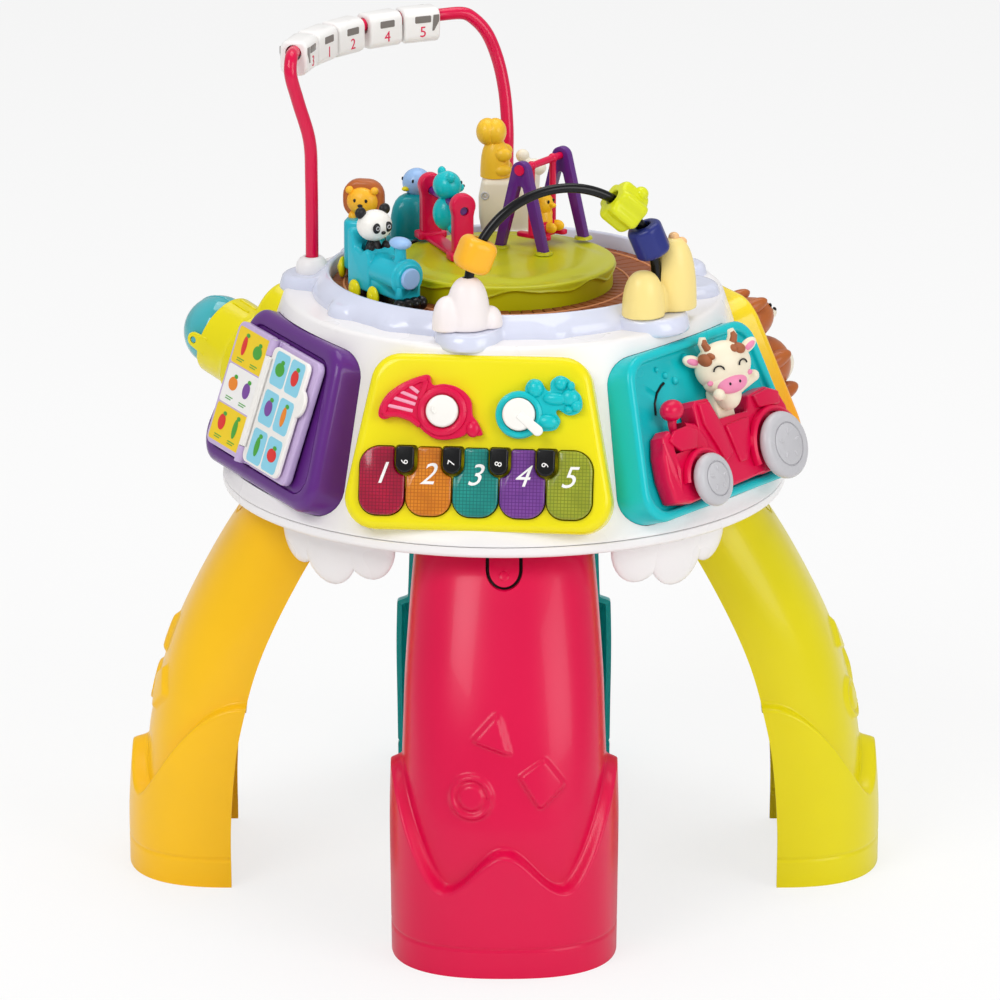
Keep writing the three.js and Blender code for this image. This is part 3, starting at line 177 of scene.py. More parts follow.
def soften(made, width, segments=3, limit=30):
    """Rounds every edge that turns more than a limit, as a mould's edges are."""
    if width <= 0:
        return
    sharp = [e for e in made.edges if len(e.link_faces) == 2 and e.calc_face_angle(0) > math.radians(limit)]
    bmesh.ops.bevel(made, geom=sharp, offset=width, segments=segments, profile=0.5, affect="EDGES",
                    material=-1, clamp_overlap=True)


def spun(shape, profile, place=Matrix(), steps=64, edge=0.0):
    """Turns a profile of (radius, height) about the vertical axis."""
    made = bmesh.new()
    points = [made.verts.new((radius, 0, height)) for radius, height in profile]
    lines = [made.edges.new(pair) for pair in zip(points, points[1:])]
    bmesh.ops.spin(made, geom=points + lines, cent=(0, 0, 0), axis=(0, 0, 1), dvec=(0, 0, 0),
                   angle=2 * math.pi, steps=steps, use_merge=True, use_duplicate=False)
    bmesh.ops.remove_doubles(made, verts=made.verts, dist=1e-6)
    bmesh.ops.dissolve_degenerate(made, edges=made.edges, dist=1e-7)
    bmesh.ops.recalc_face_normals(made, faces=made.faces)
    soften(made, edge)
    pour(shape, made, place)


def slab(shape, outline, bottom, top, place=Matrix(), edge=0.0, segments=3):
    """Pushes an outline of (x, y) points up from one height to another."""
    made = bmesh.new()
    face = made.faces.new([made.verts.new((x, y, bottom)) for x, y in outline])
    grown = bmesh.ops.extrude_face_region(made, geom=[face])["geom"]
    bmesh.ops.translate(made, verts=[v for v in grown if isinstance(v, bmesh.types.BMVert)],
                        vec=(0, 0, top - bottom))
    bmesh.ops.recalc_face_normals(made, faces=made.faces)
    soften(made, edge, segments, 50)
    pour(shape, made, place)


def smooth_object(name, shape, look, smooth=35):
    mesh = bpy.data.meshes.new(name)
    shape.to_mesh(mesh)
    shape.free()
    for face in mesh.polygons:
        face.use_smooth = True
    mesh.set_sharp_from_angle(angle=math.radians(smooth))
    mesh.materials.append(look)
    return linked(name, mesh)


def evaluated(item):
    """The mesh that an object's curve or modifiers make."""
    bpy.context.view_layer.update()
    return bpy.data.meshes.new_from_object(item.evaluated_get(bpy.context.evaluated_depsgraph_get()))


def mould(name, shape, look, body, slot, *nodes, smooth=35):
    """Makes the finished piece on its body, in place of the frame's nodes."""
    item = smooth_object(name, shape, look, smooth)
    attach(item, body)
    if nodes:
        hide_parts(*nodes)
    return item


def carve(item, cutter_shape, smooth=35):
    """Cuts a shape out of a piece, as a core in the mould leaves it out."""
    cutter_mesh = bpy.data.meshes.new("core")
    cutter_shape.to_mesh(cutter_mesh)
    cutter_shape.free()
    cutter = linked("core", cutter_mesh)
    cutting = item.modifiers.new("core", "BOOLEAN")
    cutting.object = cutter
    cutting.solver = "EXACT"
    cutting.use_self = True
    done = evaluated(item)
    item.modifiers.clear()
    old = item.data
    item.data = done
    bpy.data.meshes.remove(old)
    bpy.data.objects.remove(cutter)
    bpy.data.meshes.remove(cutter_mesh)
    for face in done.polygons:
        face.use_smooth = True
    done.set_sharp_from_angle(angle=math.radians(smooth))


def arc(centre, radius, start, end, steps):
    """Points on an arc, with its angles in degrees."""
    turns = [math.radians(start + (end - start) * i / steps) for i in range(steps + 1)]
    return [(centre[0] + radius * math.cos(t), centre[1] + radius * math.sin(t)) for t in turns]


def circle(centre, radius, count):
    return arc(centre, radius, 0, 360 - 360 / count, count - 1)


panel = {"radius": 0.157, "height": 0.3108, "lean": math.radians(18.8),
         "turns": [-5.5, 52.5, 117, 174.5, -128, -64], "bottom": 0.16, "top": 0.128, "rise": 0.101,
         "corner": 0.018, "thick": 0.0225, "gap": 0.0003}


def panel_place(number):
    """From a panel's own axes (along it, up its face, out of it) to the table's."""
    turn = turned(panel["turns"][number])
    seat = shift((0, -panel["radius"], panel["height"]))
    return turn @ seat @ Matrix.Rotation(math.pi / 2 - panel["lean"], 4, "X")


def plate_outline(inset=0.0, corner=panel["corner"]):
    """A panel's outline, wider at the bottom, with round corners."""
    low, high = panel["bottom"] / 2 - inset, panel["top"] / 2 - inset
    rise = panel["rise"] / 2 - inset
    slant = math.degrees(math.atan((low - high) / (2 * rise)))
    side = corner * math.tan(math.radians(slant))
    round_ = corner - inset / 2
    return (arc((low - round_ - side / 2, -rise + round_), round_, -90, slant, 8)
            + arc((high - round_ + side / 2, rise - round_), round_, slant, 90, 8)
            + arc((-high + round_ - side / 2, rise - round_), round_, 90, 180 - slant, 8)
            + arc((-low + round_ + side / 2, -rise + round_), round_, 180 - slant, 270, 8))


white_abs = moulded_abs("white_gloss_abs", "#f4f1f1", 0.28)
cone_foot, cone_shoulder = (0.1738, 0.2523), (0.136, 0.3625)
shape = bmesh.new()
spun(shape, [(0, cone_foot[1])] + [cone_foot, (0.1736, 0.2535), (0.1722, 0.2556)]
     + arc((cone_shoulder[0] - 0.0038, cone_shoulder[1] - 0.0003), 0.0038, 18, 90, 6)
     + [(0, 0.366)], steps=160)
housing = mould("housing", shape, white_abs, "base", "white_shell", "upper_housing")
pockets = bmesh.new()
for number in range(6):
    slab(pockets, plate_outline(-panel["gap"]), -panel["thick"] - panel["gap"], panel["thick"],
         panel_place(number))
carve(housing, pockets)


# Rim and floor: the white lower shell that the legs plug into. Its rolled lip meets the cone at
# a fine parting line, and four cloud-shaped skirts hang between the legs.
shape = bmesh.new()
lip = arc((0.1708, 0.2482), 0.0032, 0, -110, 10)
spun(shape, [(0, 0.2517), (0.1736, 0.2517), (0.174, 0.2513)] + lip + [(0.1665, 0.2465), (0, 0.2465)],
     steps=160)


def ball(shape, radii, centre, place=Matrix(), segments=32):
    """A ball or an egg, by its three radii."""
    made = bmesh.new()
    bmesh.ops.create_uvsphere(made, u_segments=segments, v_segments=segments // 2, radius=1)
    made.transform(shift(centre) @ Matrix.Diagonal((*radii, 1)))
    pour(shape, made, place)


def eggs(place, rows, shape=None):
    """Balls from rows of three radii, a middle and a number of segments.

    One whose middle is off the plane y = 0 is made twice, on both sides of it.
    """
    if shape is None:
        shape = bmesh.new()
    for *radii, x, y, z, segments in rows:
        for side in (-1, 1) if y else (1,):
            ball(shape, radii, (x, side * y, z), place, segments)
    return shape


skirt_radius = 0.148
puffs = [
    {"across": -0.031, "height": 0.237, "size": 0.0195},
    {"across": -0.001, "height": 0.234, "size": 0.0235},
    {"across": 0.03, "height": 0.238, "size": 0.019},
]
for turn in (45, 135, 225, 315):
    for puff in puffs:
        swing_out = math.atan(puff["across"] / skirt_radius)
        place = Matrix.Rotation(math.radians(turn) + swing_out, 4, "Z")
        ball(shape, (puff["size"], 0.0045, puff["size"] + 0.002), (0, -skirt_radius, puff["height"]), place)
mould("rim_and_floor", shape, white_abs, "base", "white_shell", "lower_housing")


# Deck ring: a high-gloss lavender ring that drips over the cone's edge in cloud-shaped lobes.
# A larger lobe carries each foot of the arch, and the two stands of the bead wire.
lobes = [
    {"turn": -97.5, "out": 0.1195, "size": 0.02},
    {"turn": 179.0, "out": 0.1195, "size": 0.02},
    {"turn": -10.6, "out": 0.1195, "size": 0.02},
    {"turn": 48.5, "out": 0.1195, "size": 0.023},
    {"turn": -58.0, "out": 0.11, "size": 0.014},
    {"turn": -36.0, "out": 0.108, "size": 0.013},
    {"turn": 15.0, "out": 0.108, "size": 0.013},
    {"turn": 86.0, "out": 0.116, "size": 0.017},
    {"turn": 110.0, "out": 0.116, "size": 0.017},
    {"turn": 142.0, "out": 0.112, "size": 0.014},
    {"turn": -130.0, "out": 0.114, "size": 0.016},
    {"turn": -156.0, "out": 0.111, "size": 0.014},
]
deck = {"inner": 0.1072, "seat": 0.3664, "plain": 0.1185, "lip": 0.379, "lip_width": 0.003,
        "lobe_top": 0.373, "low": 0.3625}


def deck_edge(turn):
    """How far out the ring reaches at a plan angle: its lobes, blended."""
    total = math.exp(deck["plain"] / 0.0022)
    for lobe in lobes:
        off = math.radians(turn - lobe["turn"])
        across = lobe["out"] * math.sin(off)
        if math.cos(off) > 0 and abs(across) < lobe["size"]:
            reach = lobe["out"] * math.cos(off) + math.sqrt(lobe["size"] ** 2 - across ** 2)
            total += math.exp(reach / 0.0022)
    return math.log(total) * 0.0022


def deck_section(turn):
    """The ring's section at a plan angle, as (radius, height) points round a loop."""
    edge = deck_edge(turn)
    roll = 0.006
    points = [(deck["inner"], deck["seat"]), (deck["inner"], deck["lip"] - 0.0012)]
    points += arc((deck["inner"] + 0.0016, deck["lip"] - 0.0015), 0.0015, 160, 50, 4)
    start = deck["inner"] + deck["lip_width"]
    steps = 16
    for i in range(steps + 1):
        radius = start + (edge - start) * (i / steps) ** 0.9
        slope = deck["lip"] - 0.0006 - (radius - start) * 0.78
        lobe = deck["lobe_top"] if edge > deck["plain"] + 0.003 else deck["lobe_top"] - 0.002
        height = math.log(math.exp(slope / 0.0012) + math.exp(lobe / 0.0012)) * 0.0012
        past = max(0.0, (radius - (edge - roll)) / roll)
        height = deck["low"] + 0.003 + (height - deck["low"] - 0.003) * math.sqrt(max(0.0, 1 - past ** 2.4))
        points.append((radius, height))
    points += [(edge, deck["low"] + 0.001), (edge - 0.0012, deck["low"]), (edge - 0.004, deck["seat"])]
    return points + [points[0]]


def wrapped(shape, around, rows, point):
    """A skin that closes round the Z axis; point gives the radius and height at a column and row."""
    bmesh.ops.create_grid(shape, x_segments=around, y_segments=rows, size=0.5)
    for vertex in shape.verts:
        column = round((vertex.co.x + 0.5) * around)
        radius, height = point(column, round((vertex.co.y + 0.5) * rows))
        turn = 2 * math.pi * column / around
        vertex.co = (radius * math.sin(turn), -radius * math.cos(turn), height)
    bmesh.ops.remove_doubles(shape, verts=shape.verts, dist=1e-6)
    bmesh.ops.recalc_face_normals(shape, faces=shape.faces)


around = 360
sections = [deck_section(360 * i / around) for i in range(around)]
shape = bmesh.new()
wrapped(shape, around, len(sections[0]) - 1, lambda column, row: sections[column % around][row])
lavender_abs = moulded_abs("lavender_high_gloss_abs", "#dbdff2", 0.16, 0.5)
mould("deck_ring_lavender", shape, lavender_abs, "base", "lavender_grey", "deck_ring", smooth=50)

# Arch collars: two white moulded caps that hide the sockets of the arch's feet.
# Each is a low bell with a seam round its foot.
arch_feet = [(-97.5, 0.1195), (179.0, 0.1195)]
shape = bmesh.new()
bell = [(0.0043, 0.3725), (0.0098, 0.3725), (0.0101, 0.3755), (0.0094, 0.379), (0.0077, 0.3815),
        (0.0058, 0.3828), (0.0043, 0.3828), (0.0043, 0.3725)]
for turn, out in arch_feet:
    place = turned(turn) @ shift((0, -out, 0))
    spun(shape, bell, place, steps=40)
mould("arch_collars", shape, white_abs, "base", "white_trim")


# Track: a brown moulded floor of radial planks with two raised rails. It turns round the island
# and carries the whole train.
track_top = 0.3703
shape = bmesh.new()
spun(shape, [(0.0515, deck["seat"]), (0.1068, deck["seat"]), (0.1068, track_top - 0.001),
             (0.0515, track_top - 0.001), (0.0515, deck["seat"])], steps=128)
planks = 64
plank = {"inner": 0.0535, "outer": 0.1055, "groove": 0.0009}
for i in range(planks):
    half_in = math.pi * plank["inner"] / planks - plank["groove"] / 2
    half_out = math.pi * plank["outer"] / planks - plank["groove"] / 2
    outline = [(-half_in, -plank["inner"]), (-half_out, -plank["outer"]), (half_out, -plank["outer"]),
               (half_in, -plank["inner"])]
    slab(shape, outline, track_top - 0.0012, track_top, turned(360 * i / planks), 0.0003, 1)
brown_plastic = moulded_abs("brown_satin_polypropylene", "#8c4c26", 0.5, 0.0)
mould("plank_floor", shape, brown_plastic, "turntable", "brown_floor", "track_ring")
shape = bmesh.new()
for radius in (0.0775, 0.0985):
    spun(shape, arc((radius, track_top), 0.0007, 0, 180, 6) + [(radius + 0.0007, track_top)], steps=128)
rail_brown = moulded_abs("light_brown_polypropylene", "#cf8a5c", 0.45, 0.0)
mould("rails", shape, rail_brown, "turntable", "brown_floor")


# Island: a lime plateau fixed inside the track. Its side has a wavy ledge, like turf over earth,
# and its top swells and dips a little.
island = {"radius": 0.069, "low": 0.3672, "top": 0.3875, "rows": 72, "around": 300}


def ramp(distance, width):
    """0 to 1 over a width, with soft ends."""
    t = min(1.0, max(0.0, distance / width))
    return t * t * (3 - 2 * t)


def ledge_height(turn):
    return 0.3806 + 0.0017 * math.sin(9 * turn) + 0.0009 * math.sin(14 * turn + 1.2)


def island_point(turn, row):
    """A point on the island's skin, from its foot (row 0) to its middle (last row)."""
    side_rows, round_rows = 32, 8
    ledge = ledge_height(turn)
    if row <= side_rows:
        height = island["low"] + (0.3838 - island["low"]) * row / side_rows
        over = 1 / (1 + math.exp(-(height - ledge) / 0.0003))
        bead = 0.0006 * math.exp(-((height - ledge - 0.0007) / 0.0006) ** 2)
        return island["radius"] - 0.0016 * (1 - over) - 0.0004 + bead, height
    if row <= side_rows + round_rows:
        bend = (row - side_rows) / round_rows * math.pi / 2
        return island["radius"] - 0.003 + 0.0026 * math.cos(bend), 0.3838 + 0.0016 * math.sin(bend)
    share = (island["rows"] - row) / (island["rows"] - side_rows - round_rows)
    radius = (island["radius"] - 0.003) * share
    terrace = 0.0555 + 0.0022 * math.sin(5 * turn + 0.6) + 0.0014 * math.sin(8 * turn)
    fall = (island["top"] - 0.3854) * ramp(radius - terrace + 0.004, 0.011)
    waves = 0.0003 * (1 + math.sin(radius * 190 + 2 * turn))
    dip = waves * min(1, 4 * (1 - share)) * min(1, 3 * share) + fall
    return radius, island["top"] - dip


shape = bmesh.new()
wrapped(shape, island["around"], island["rows"],
        lambda column, row: island_point(2 * math.pi * column / island["around"], row))
spun(shape, [(0, deck["seat"]), (0.05, deck["seat"]), (0.05, island["low"]),
             (island["radius"], island["low"])],
     steps=96)
lime_abs = moulded_abs("lime_gloss_abs", "#bcbb06", 0.3)
mould("island_turf", shape, lime_abs, "base", "lime", "island")


# Legs: four alike C-shaped ABS shells, open at the back, that arch out from the rim. Each has a
# wavy cuff, three raised marks, a seam round its foot and a spring latch under the rim.
leg_course = [
    (0.000, 0.225, 0.0615), (0.04, 0.225, 0.062), (0.084, 0.2215, 0.0625), (0.11, 0.2165, 0.062),
    (0.139, 0.2085, 0.061), (0.166, 0.1975, 0.06), (0.2, 0.18, 0.0575), (0.227, 0.1635, 0.055),
    (0.244, 0.151, 0.053), (0.262, 0.1365, 0.051),
]
leg = {"depth": 0.056, "power": 2.5, "cuff_side": 0.0068, "cuff_out": 0.0095, "cuff_tip": 0.119,
       "cuff_peak": 0.079, "cuff_valley": 0.055, "raise": 0.003, "wall": 0.0032, "seam": 0.018}
marks = {
    "triangle": [(-0.0035, 0.16), (-0.0218, 0.1408), (0.0062, 0.131)],
    "diamond": [(0.0248, 0.133), (0.007, 0.1215), (0.0212, 0.0995), (0.0385, 0.115)],
}
ring_mark = {"middle": (-0.02, 0.1088), "size": 0.0142, "inner": 0.0088}


def leg_at(height):
    """Outer radius and half width at a height: a cubic through the course."""
    last = len(leg_course) - 2
    i = next((k for k in range(last + 1) if height <= leg_course[k + 1][0]), last)
    low, high = leg_course[i], leg_course[i + 1]
    before, after = leg_course[max(i - 1, 0)], leg_course[min(i + 2, last + 1)]
    span = high[0] - low[0]
    t = (height - low[0]) / span
    found = []
    for k in (1, 2):
        slope_low = (high[k] - before[k]) / (high[0] - before[0]) * span
        slope_high = (after[k] - low[k]) / (after[0] - low[0]) * span
        found.append((2 * t ** 3 - 3 * t ** 2 + 1) * low[k] + (t ** 3 - 2 * t ** 2 + t) * slope_low
                     + (3 * t ** 2 - 2 * t ** 3) * high[k] + (t ** 3 - t ** 2) * slope_high)
    return found


corner_softness = 0.0011


def inside_by(point, corners):
    """How far a point lies inside a convex outline with soft corners; negative outside."""
    crowd = 0.0
    for (ax, ay), (bx, by) in zip(corners, corners[1:] + corners[:1]):
        length = math.hypot(bx - ax, by - ay)
        inside = ((bx - ax) * (point[1] - ay) - (by - ay) * (point[0] - ax)) / length
        crowd += math.exp(-max(-0.05, inside) / corner_softness)
    return -corner_softness * math.log(crowd)


def cuff_line(share):
    """Height of the cuff's upper edge at a share of the half width."""
    if share < 0.55:
        bend = (1 + math.cos(math.pi * share / 0.55)) / 2
        return leg["cuff_valley"] + (leg["cuff_peak"] - leg["cuff_valley"]) * bend
    climb = (share - 0.55) / 0.45
    return leg["cuff_valley"] + (leg["cuff_tip"] - leg["cuff_valley"]) * climb ** 1.7


def leg_point(side, height):
    """A point on the leg's outer skin: side runs from one open edge to the other."""
    radius, half = leg_at(height)
    angle = side * math.pi
    bend = 2 / leg["power"]
    across = math.copysign(abs(math.cos(angle)) ** bend, math.cos(angle))
    out = max(math.sin(angle), 0.0) ** bend
    x = half * across
    raised = max(ramp(inside_by((x, height), corners), 0.0024) for corners in marks.values())
    from_ring = math.hypot(x - ring_mark["middle"][0], height - ring_mark["middle"][1])
    groove = 0.8 * math.exp(-((from_ring - ring_mark["inner"]) / 0.0015) ** 2)
    raised = max(raised, ramp(ring_mark["size"] - from_ring, 0.0026) - groove)
    if out < 0.5:
        raised = 0.0
    cuffed = ramp(cuff_line(abs(across)) - height, 0.004)
    seam = 0.0009 * math.exp(-((height - leg["seam"]) / 0.0009) ** 2)
    grow_side = leg["cuff_side"] * cuffed - seam
    grow_out = leg["cuff_out"] * cuffed + leg["raise"] * raised - seam
    return ((half + grow_side) * across, -(radius - leg["depth"]) - (leg["depth"] + grow_out) * out, height)


crimson_abs = moulded_abs("crimson_gloss_abs", "#dc0246", 0.3)
orange_abs = moulded_abs("orange_gloss_abs", "#ffc612", 0.3)
dark_teal_abs = moulded_abs("dark_teal_gloss_abs", "#0aa3a6", 0.3)
leg_green_abs = moulded_abs("leg_lime_gloss_abs", "#e4d604", 0.3)
leg_columns, leg_rows = 190, 330
shape = bmesh.new()
bmesh.ops.create_grid(shape, x_segments=leg_columns, y_segments=leg_rows, size=0.5)
for vertex in shape.verts:
    share = vertex.co.x + 0.5
    vertex.co = leg_point(share, (vertex.co.y + 0.5) * 0.2615)
bmesh.ops.smooth_vert(shape, verts=[v for v in shape.verts if not v.is_boundary], factor=0.5,
                      use_axis_x=True, use_axis_y=True, use_axis_z=True)
bmesh.ops.recalc_face_normals(shape, faces=shape.faces)
middle_face = min(shape.faces, key=lambda face: face.calc_center_median().y)
if middle_face.normal.y > 0:
    bmesh.ops.reverse_faces(shape, faces=shape.faces)
bmesh.ops.solidify(shape, geom=shape.faces, thickness=leg["wall"])
leg_model = smooth_object("leg_model", shape, crimson_abs, 60)
latch = {"width": 0.018, "low": 0.2225, "slot": 0.0022, "top": 0.2447}
slot = bmesh.new()
outer_half = latch["width"] / 2 + latch["slot"]
inner_half = latch["width"] / 2
bottom_outer = arc((0, latch["low"] + outer_half), outer_half, 180, 360, 20)
bottom_inner = arc((0, latch["low"] + outer_half), inner_half, 360, 180, 20)
slab(slot, bottom_outer + [(outer_half, latch["top"])] + [(inner_half, latch["top"])] + bottom_inner
     + [(-inner_half, latch["top"]), (-outer_half, latch["top"])], 0.1, 0.25, turned(90, "X"))
carve(leg_model, slot, 60)
leg_looks = {
    "leg_front": (0, crimson_abs, "crimson"),
    "leg_right": (90, leg_green_abs, "lime"),
    "leg_back": (180, dark_teal_abs, "dark_teal"),
    "leg_left": (270, orange_abs, "orange"),
}
shadow_abs = moulded_abs("shadow_black_abs", "#0b0b0d", 0.5, 0.0)


def on_leg(turn, height, tilt=53.7):
    """A place on a leg's skin near its latch, with Z pointing out of the skin."""
    return (turned(turn) @ shift((0, -leg_at(height)[0], height))
            @ turned(tilt, "X"))


for name, (turn, look, slot_name) in leg_looks.items():
    shape = bmesh.new()
    shape.from_mesh(leg_model.data)
    shape.transform(turned(turn))
    ball(shape, (0.0032, 0.0032, 0.0008), (0, 0, 0), on_leg(turn, 0.2305))
    mould(name + "_shell", shape, look, "base", slot_name, name, smooth=60)
    behind = bmesh.new()
    slab(behind, [(-0.0118, -0.015), (0.0118, -0.015), (0.0118, 0.012), (-0.0118, 0.012)],
         -0.0046, -0.0036, on_leg(turn, 0.2336))
    mould(name + "_latch_shadow", behind, shadow_abs, "base", "black")
bpy.data.objects.remove(leg_model)


# Piano panel: a thick yellow ABS plate with a broad rolled edge, screwed on from behind. Five
# wells take the lit keys, and round holes take the horn's button and the dial.
def mm(points):
    """Metres, from points drawn in millimetres."""
    return [(x / 1000, y / 1000) for x, y in points]


def layered(shape, levels, place=Matrix()):
    """Carries a face through levels of (height, outline), all outlines with as many points."""
    made = bmesh.new()
    order = made.verts.layers.int.new("order")
    height, outline = levels[0]
    corners = [made.verts.new((x, y, height)) for x, y in outline]
    for i, corner in enumerate(corners):
        corner[order] = i
    back = made.faces.new(corners)
    faces = [back]
    for height, outline in levels[1:]:
        grown = bmesh.ops.extrude_face_region(made, geom=faces)["geom"]
        if back not in faces:
            bmesh.ops.delete(made, geom=faces, context="FACES_ONLY")
        faces = [part for part in grown if isinstance(part, bmesh.types.BMFace)]
        for vertex in (part for part in grown if isinstance(part, bmesh.types.BMVert)):
            vertex.co = (*outline[vertex[order]], height)
    made.verts.layers.int.remove(order)
    bmesh.ops.recalc_face_normals(made, faces=made.faces)
    pour(shape, made, place)


def rolled_plate(roll):
    """Levels of a panel from its back to its face, with a rounded front edge."""
    bends = [math.radians(15 * i) for i in range(7)]
    return ([(-panel["thick"], plate_outline())]
            + [(roll * (math.sin(t) - 1), plate_outline(roll * (1 - math.cos(t)))) for t in bends])


def dished(levels, border, depth, lip=0.002):
    """Goes on from a panel's face over a rounded lip down to a floor inside it."""
    bends = [math.radians(22.5 * i) for i in range(5)]
    over = [(lip * (math.cos(t) - 1), plate_outline(border - lip + lip * math.sin(t))) for t in bends]
    under = [(-depth + lip * (1 - math.sin(t)), plate_outline(border + lip * (1 - math.cos(t))))
             for t in bends]
    return levels + over + under


key_row = {"left": -0.0717, "pitch": 0.0282, "top": -0.0019, "bottom": -0.043, "slit": 0.0005,
           "toe": 0.0105, "shoulder": 0.012, "cap_half": 0.0055, "cap_low": -0.0122, "cap_gap": 0.0014}


def key_outline(place, grow=0.0):
    """A key's outline: a round toe, and a waist beside each black key."""
    left = key_row["left"] + place * key_row["pitch"]
    right = left + key_row["pitch"]
    side = key_row["slit"] - grow
    toe = key_row["toe"] + grow
    low, high = key_row["bottom"] - grow, key_row["top"] + grow
    waist = key_row["cap_half"] + key_row["cap_gap"] - grow
    tip = 0.002 + grow
    points = arc((left + side + toe, low + toe), toe, 180, 270, 10)
    points += arc((right - side - toe, low + toe), toe, 270, 360, 10)
    if place < 4:
        points += arc((right, key_row["cap_low"]), waist, 266, 180, 8)
        points += arc((right - waist - tip, high - tip), tip, 0, 90, 4)
    else:
        round_ = key_row["shoulder"] + grow
        points += arc((right - side - round_, high - round_), round_, 0, 90, 12)
    if place > 0:
        points += arc((left + waist + tip, high - tip), tip, 90, 180, 4)
        points += arc((left, key_row["cap_low"]), waist, 0, -86, 8)
    else:
        round_ = key_row["shoulder"] + grow
        points += arc((left + side + round_, high - round_), round_, 90, 180, 12)
    return points


def cap_outline(place, grow=0.0):
    """A black key's outline, square at the top and round at the toe."""
    middle = key_row["left"] + (place + 1) * key_row["pitch"]
    half = key_row["cap_half"] + grow
    high = key_row["top"] + 0.0002 + grow
    return (arc((middle, key_row["cap_low"]), half, 180, 360, 16)
            + arc((middle + half - 0.002, high - 0.002), 0.002, 0, 90, 4)
            + arc((middle - half + 0.002, high - 0.002), 0.002, 90, 180, 4))


piano = panel_place(0)
button_spot, dial_spot = (-0.0222, 0.0198), (0.0239, 0.019)
yellow_abs = moulded_abs("yellow_gloss_abs", "#f0e206", 0.24, 0.15)
shape = bmesh.new()
layered(shape, rolled_plate(0.005), piano)
flange = shift((0, 0.0016, 0)) @ Matrix.Diagonal((1.024, 1.05, 1, 1))
shape.transform(piano @ flange @ piano.inverted())
plate = mould("piano_plate", shape, yellow_abs, "base", "lime_panel", "piano_panel")
wells = bmesh.new()
for place in range(5):
    slab(wells, key_outline(place, 0.0007), -0.0135, 0.003, piano)
for place in range(4):
    slab(wells, cap_outline(place, 0.0011), -0.0136, 0.003, piano)
carve(plate, wells)
for spot, reach in ((button_spot, 0.01), (dial_spot, 0.0101)):
    well = bmesh.new()
    slab(well, circle(spot, reach, 48), -0.0127, 0.003, piano)
    carve(plate, well)


# Piano keys: five caps of tinted clear styrene over a grid of light cells. Each hinges at its top
# edge and dips a little; the mark on it is printed in white ink.
def tinted_styrene(name, shade, deep_shade, place):
    """Tinted clear plastic: very glossy, with the moulded grid under it showing as darker lines."""
    cell = 0.0021
    look = bpy.data.materials.new(name)
    tree = bare_tree(look)
    spot = add(tree, "Mapping", {"vector_type": "TEXTURE", "Location": place.to_translation(),
                                 "Rotation": place.to_euler()},
                                 {"Vector": add(tree, "TexCoord").outputs["Object"]})
    grid = add(tree, "TexBrick", {"offset": 0.0, "Color1": linear(shade), "Color2": linear(shade),
                                  "Mortar": linear(deep_shade), "Scale": 1 / cell, "Mortar Size": 0.13,
                                  "Mortar Smooth": 0.5, "Brick Width": 1.0, "Row Height": 1.0},
               {"Vector": spot.outputs[0]})
    cloud = add(tree, "TexNoise", {"Scale": 1 / 0.012, "Detail": 2.0},
                {"Vector": spot.outputs[0]}).outputs["Fac"]
    depth = add(tree, "MixRGB", {"Color2": linear(deep_shade)},
                {"Fac": cloud, "Color1": grid.outputs["Color"]})
    surface = add(tree, "BsdfPrincipled",
                  {"Roughness": 0.12, "IOR": 1.59, "Specular IOR Level": 0.3, "Coat Weight": 0.25,
                                           "Coat Roughness": 0.03,
                                           "Subsurface Weight": 0.15, "Subsurface Scale": 0.002},
                  {"Base Color": depth.outputs[0]})
    add(tree, "OutputMaterial", links={"Surface": surface.outputs[0]})
    return look


def pour_drawn(shape, drawn, place):
    """Adds a curve's or a text's mesh to a shape."""
    holder = linked("drawn", drawn)
    done = evaluated(holder)
    made = bmesh.new()
    made.from_mesh(done)
    bmesh.ops.remove_doubles(made, verts=made.verts, dist=1e-6)
    bmesh.ops.recalc_face_normals(made, faces=made.faces)
    bpy.data.objects.remove(holder)
    bpy.data.meshes.remove(done)
    pour(shape, made, place)


def printed(shape, text, size, place, lean=0.0):
    """A printed figure: thin ink, its middle at the place's origin."""
    drawn = bpy.data.curves.new("figure", "FONT")
    drawn.body = text
    drawn.size = size
    drawn.shear = lean
    drawn.align_x = "CENTER"
    drawn.align_y = "CENTER"
    drawn.extrude = 0.00008
    drawn.resolution_u = 4
    pour_drawn(shape, drawn, place)


ink = moulded_abs("white_pad_print_ink", "#f6f4f2", 0.5, 0.0)
key_shades = [
    ("crimson", "key_crimson", "#c4123e", "#7e0a2c"),
    ("orange", "key_orange", "#ee9620", "#b4600c"),
    ("teal", "key_teal", "#1fa597", "#0c6c68"),
    ("purple", "key_purple", "#9150ae", "#5a2a78"),
    ("lime", "key_lime", "#b2b832", "#74801a"),
]
key_top = 0.0035
for place, (name, slot_name, shade, deep_shade) in enumerate(key_shades):
    body = "piano_key_%d" % (place + 1)
    shape = bmesh.new()
    slab(shape, key_outline(place), -0.0045, key_top, piano, 0.0011)
    mould("lit_key_" + name, shape, tinted_styrene(name + "_clear_styrene", shade, deep_shade, piano), body,
          slot_name, body)
    shape = bmesh.new()
    middle = key_row["left"] + (place + 0.46) * key_row["pitch"]
    printed(shape, str(place + 1), 0.0185, piano @ shift((middle, -0.0185, key_top + 0.0001)), 0.35)
    mould("key_figure_" + name, shape, ink, body, "white_trim")

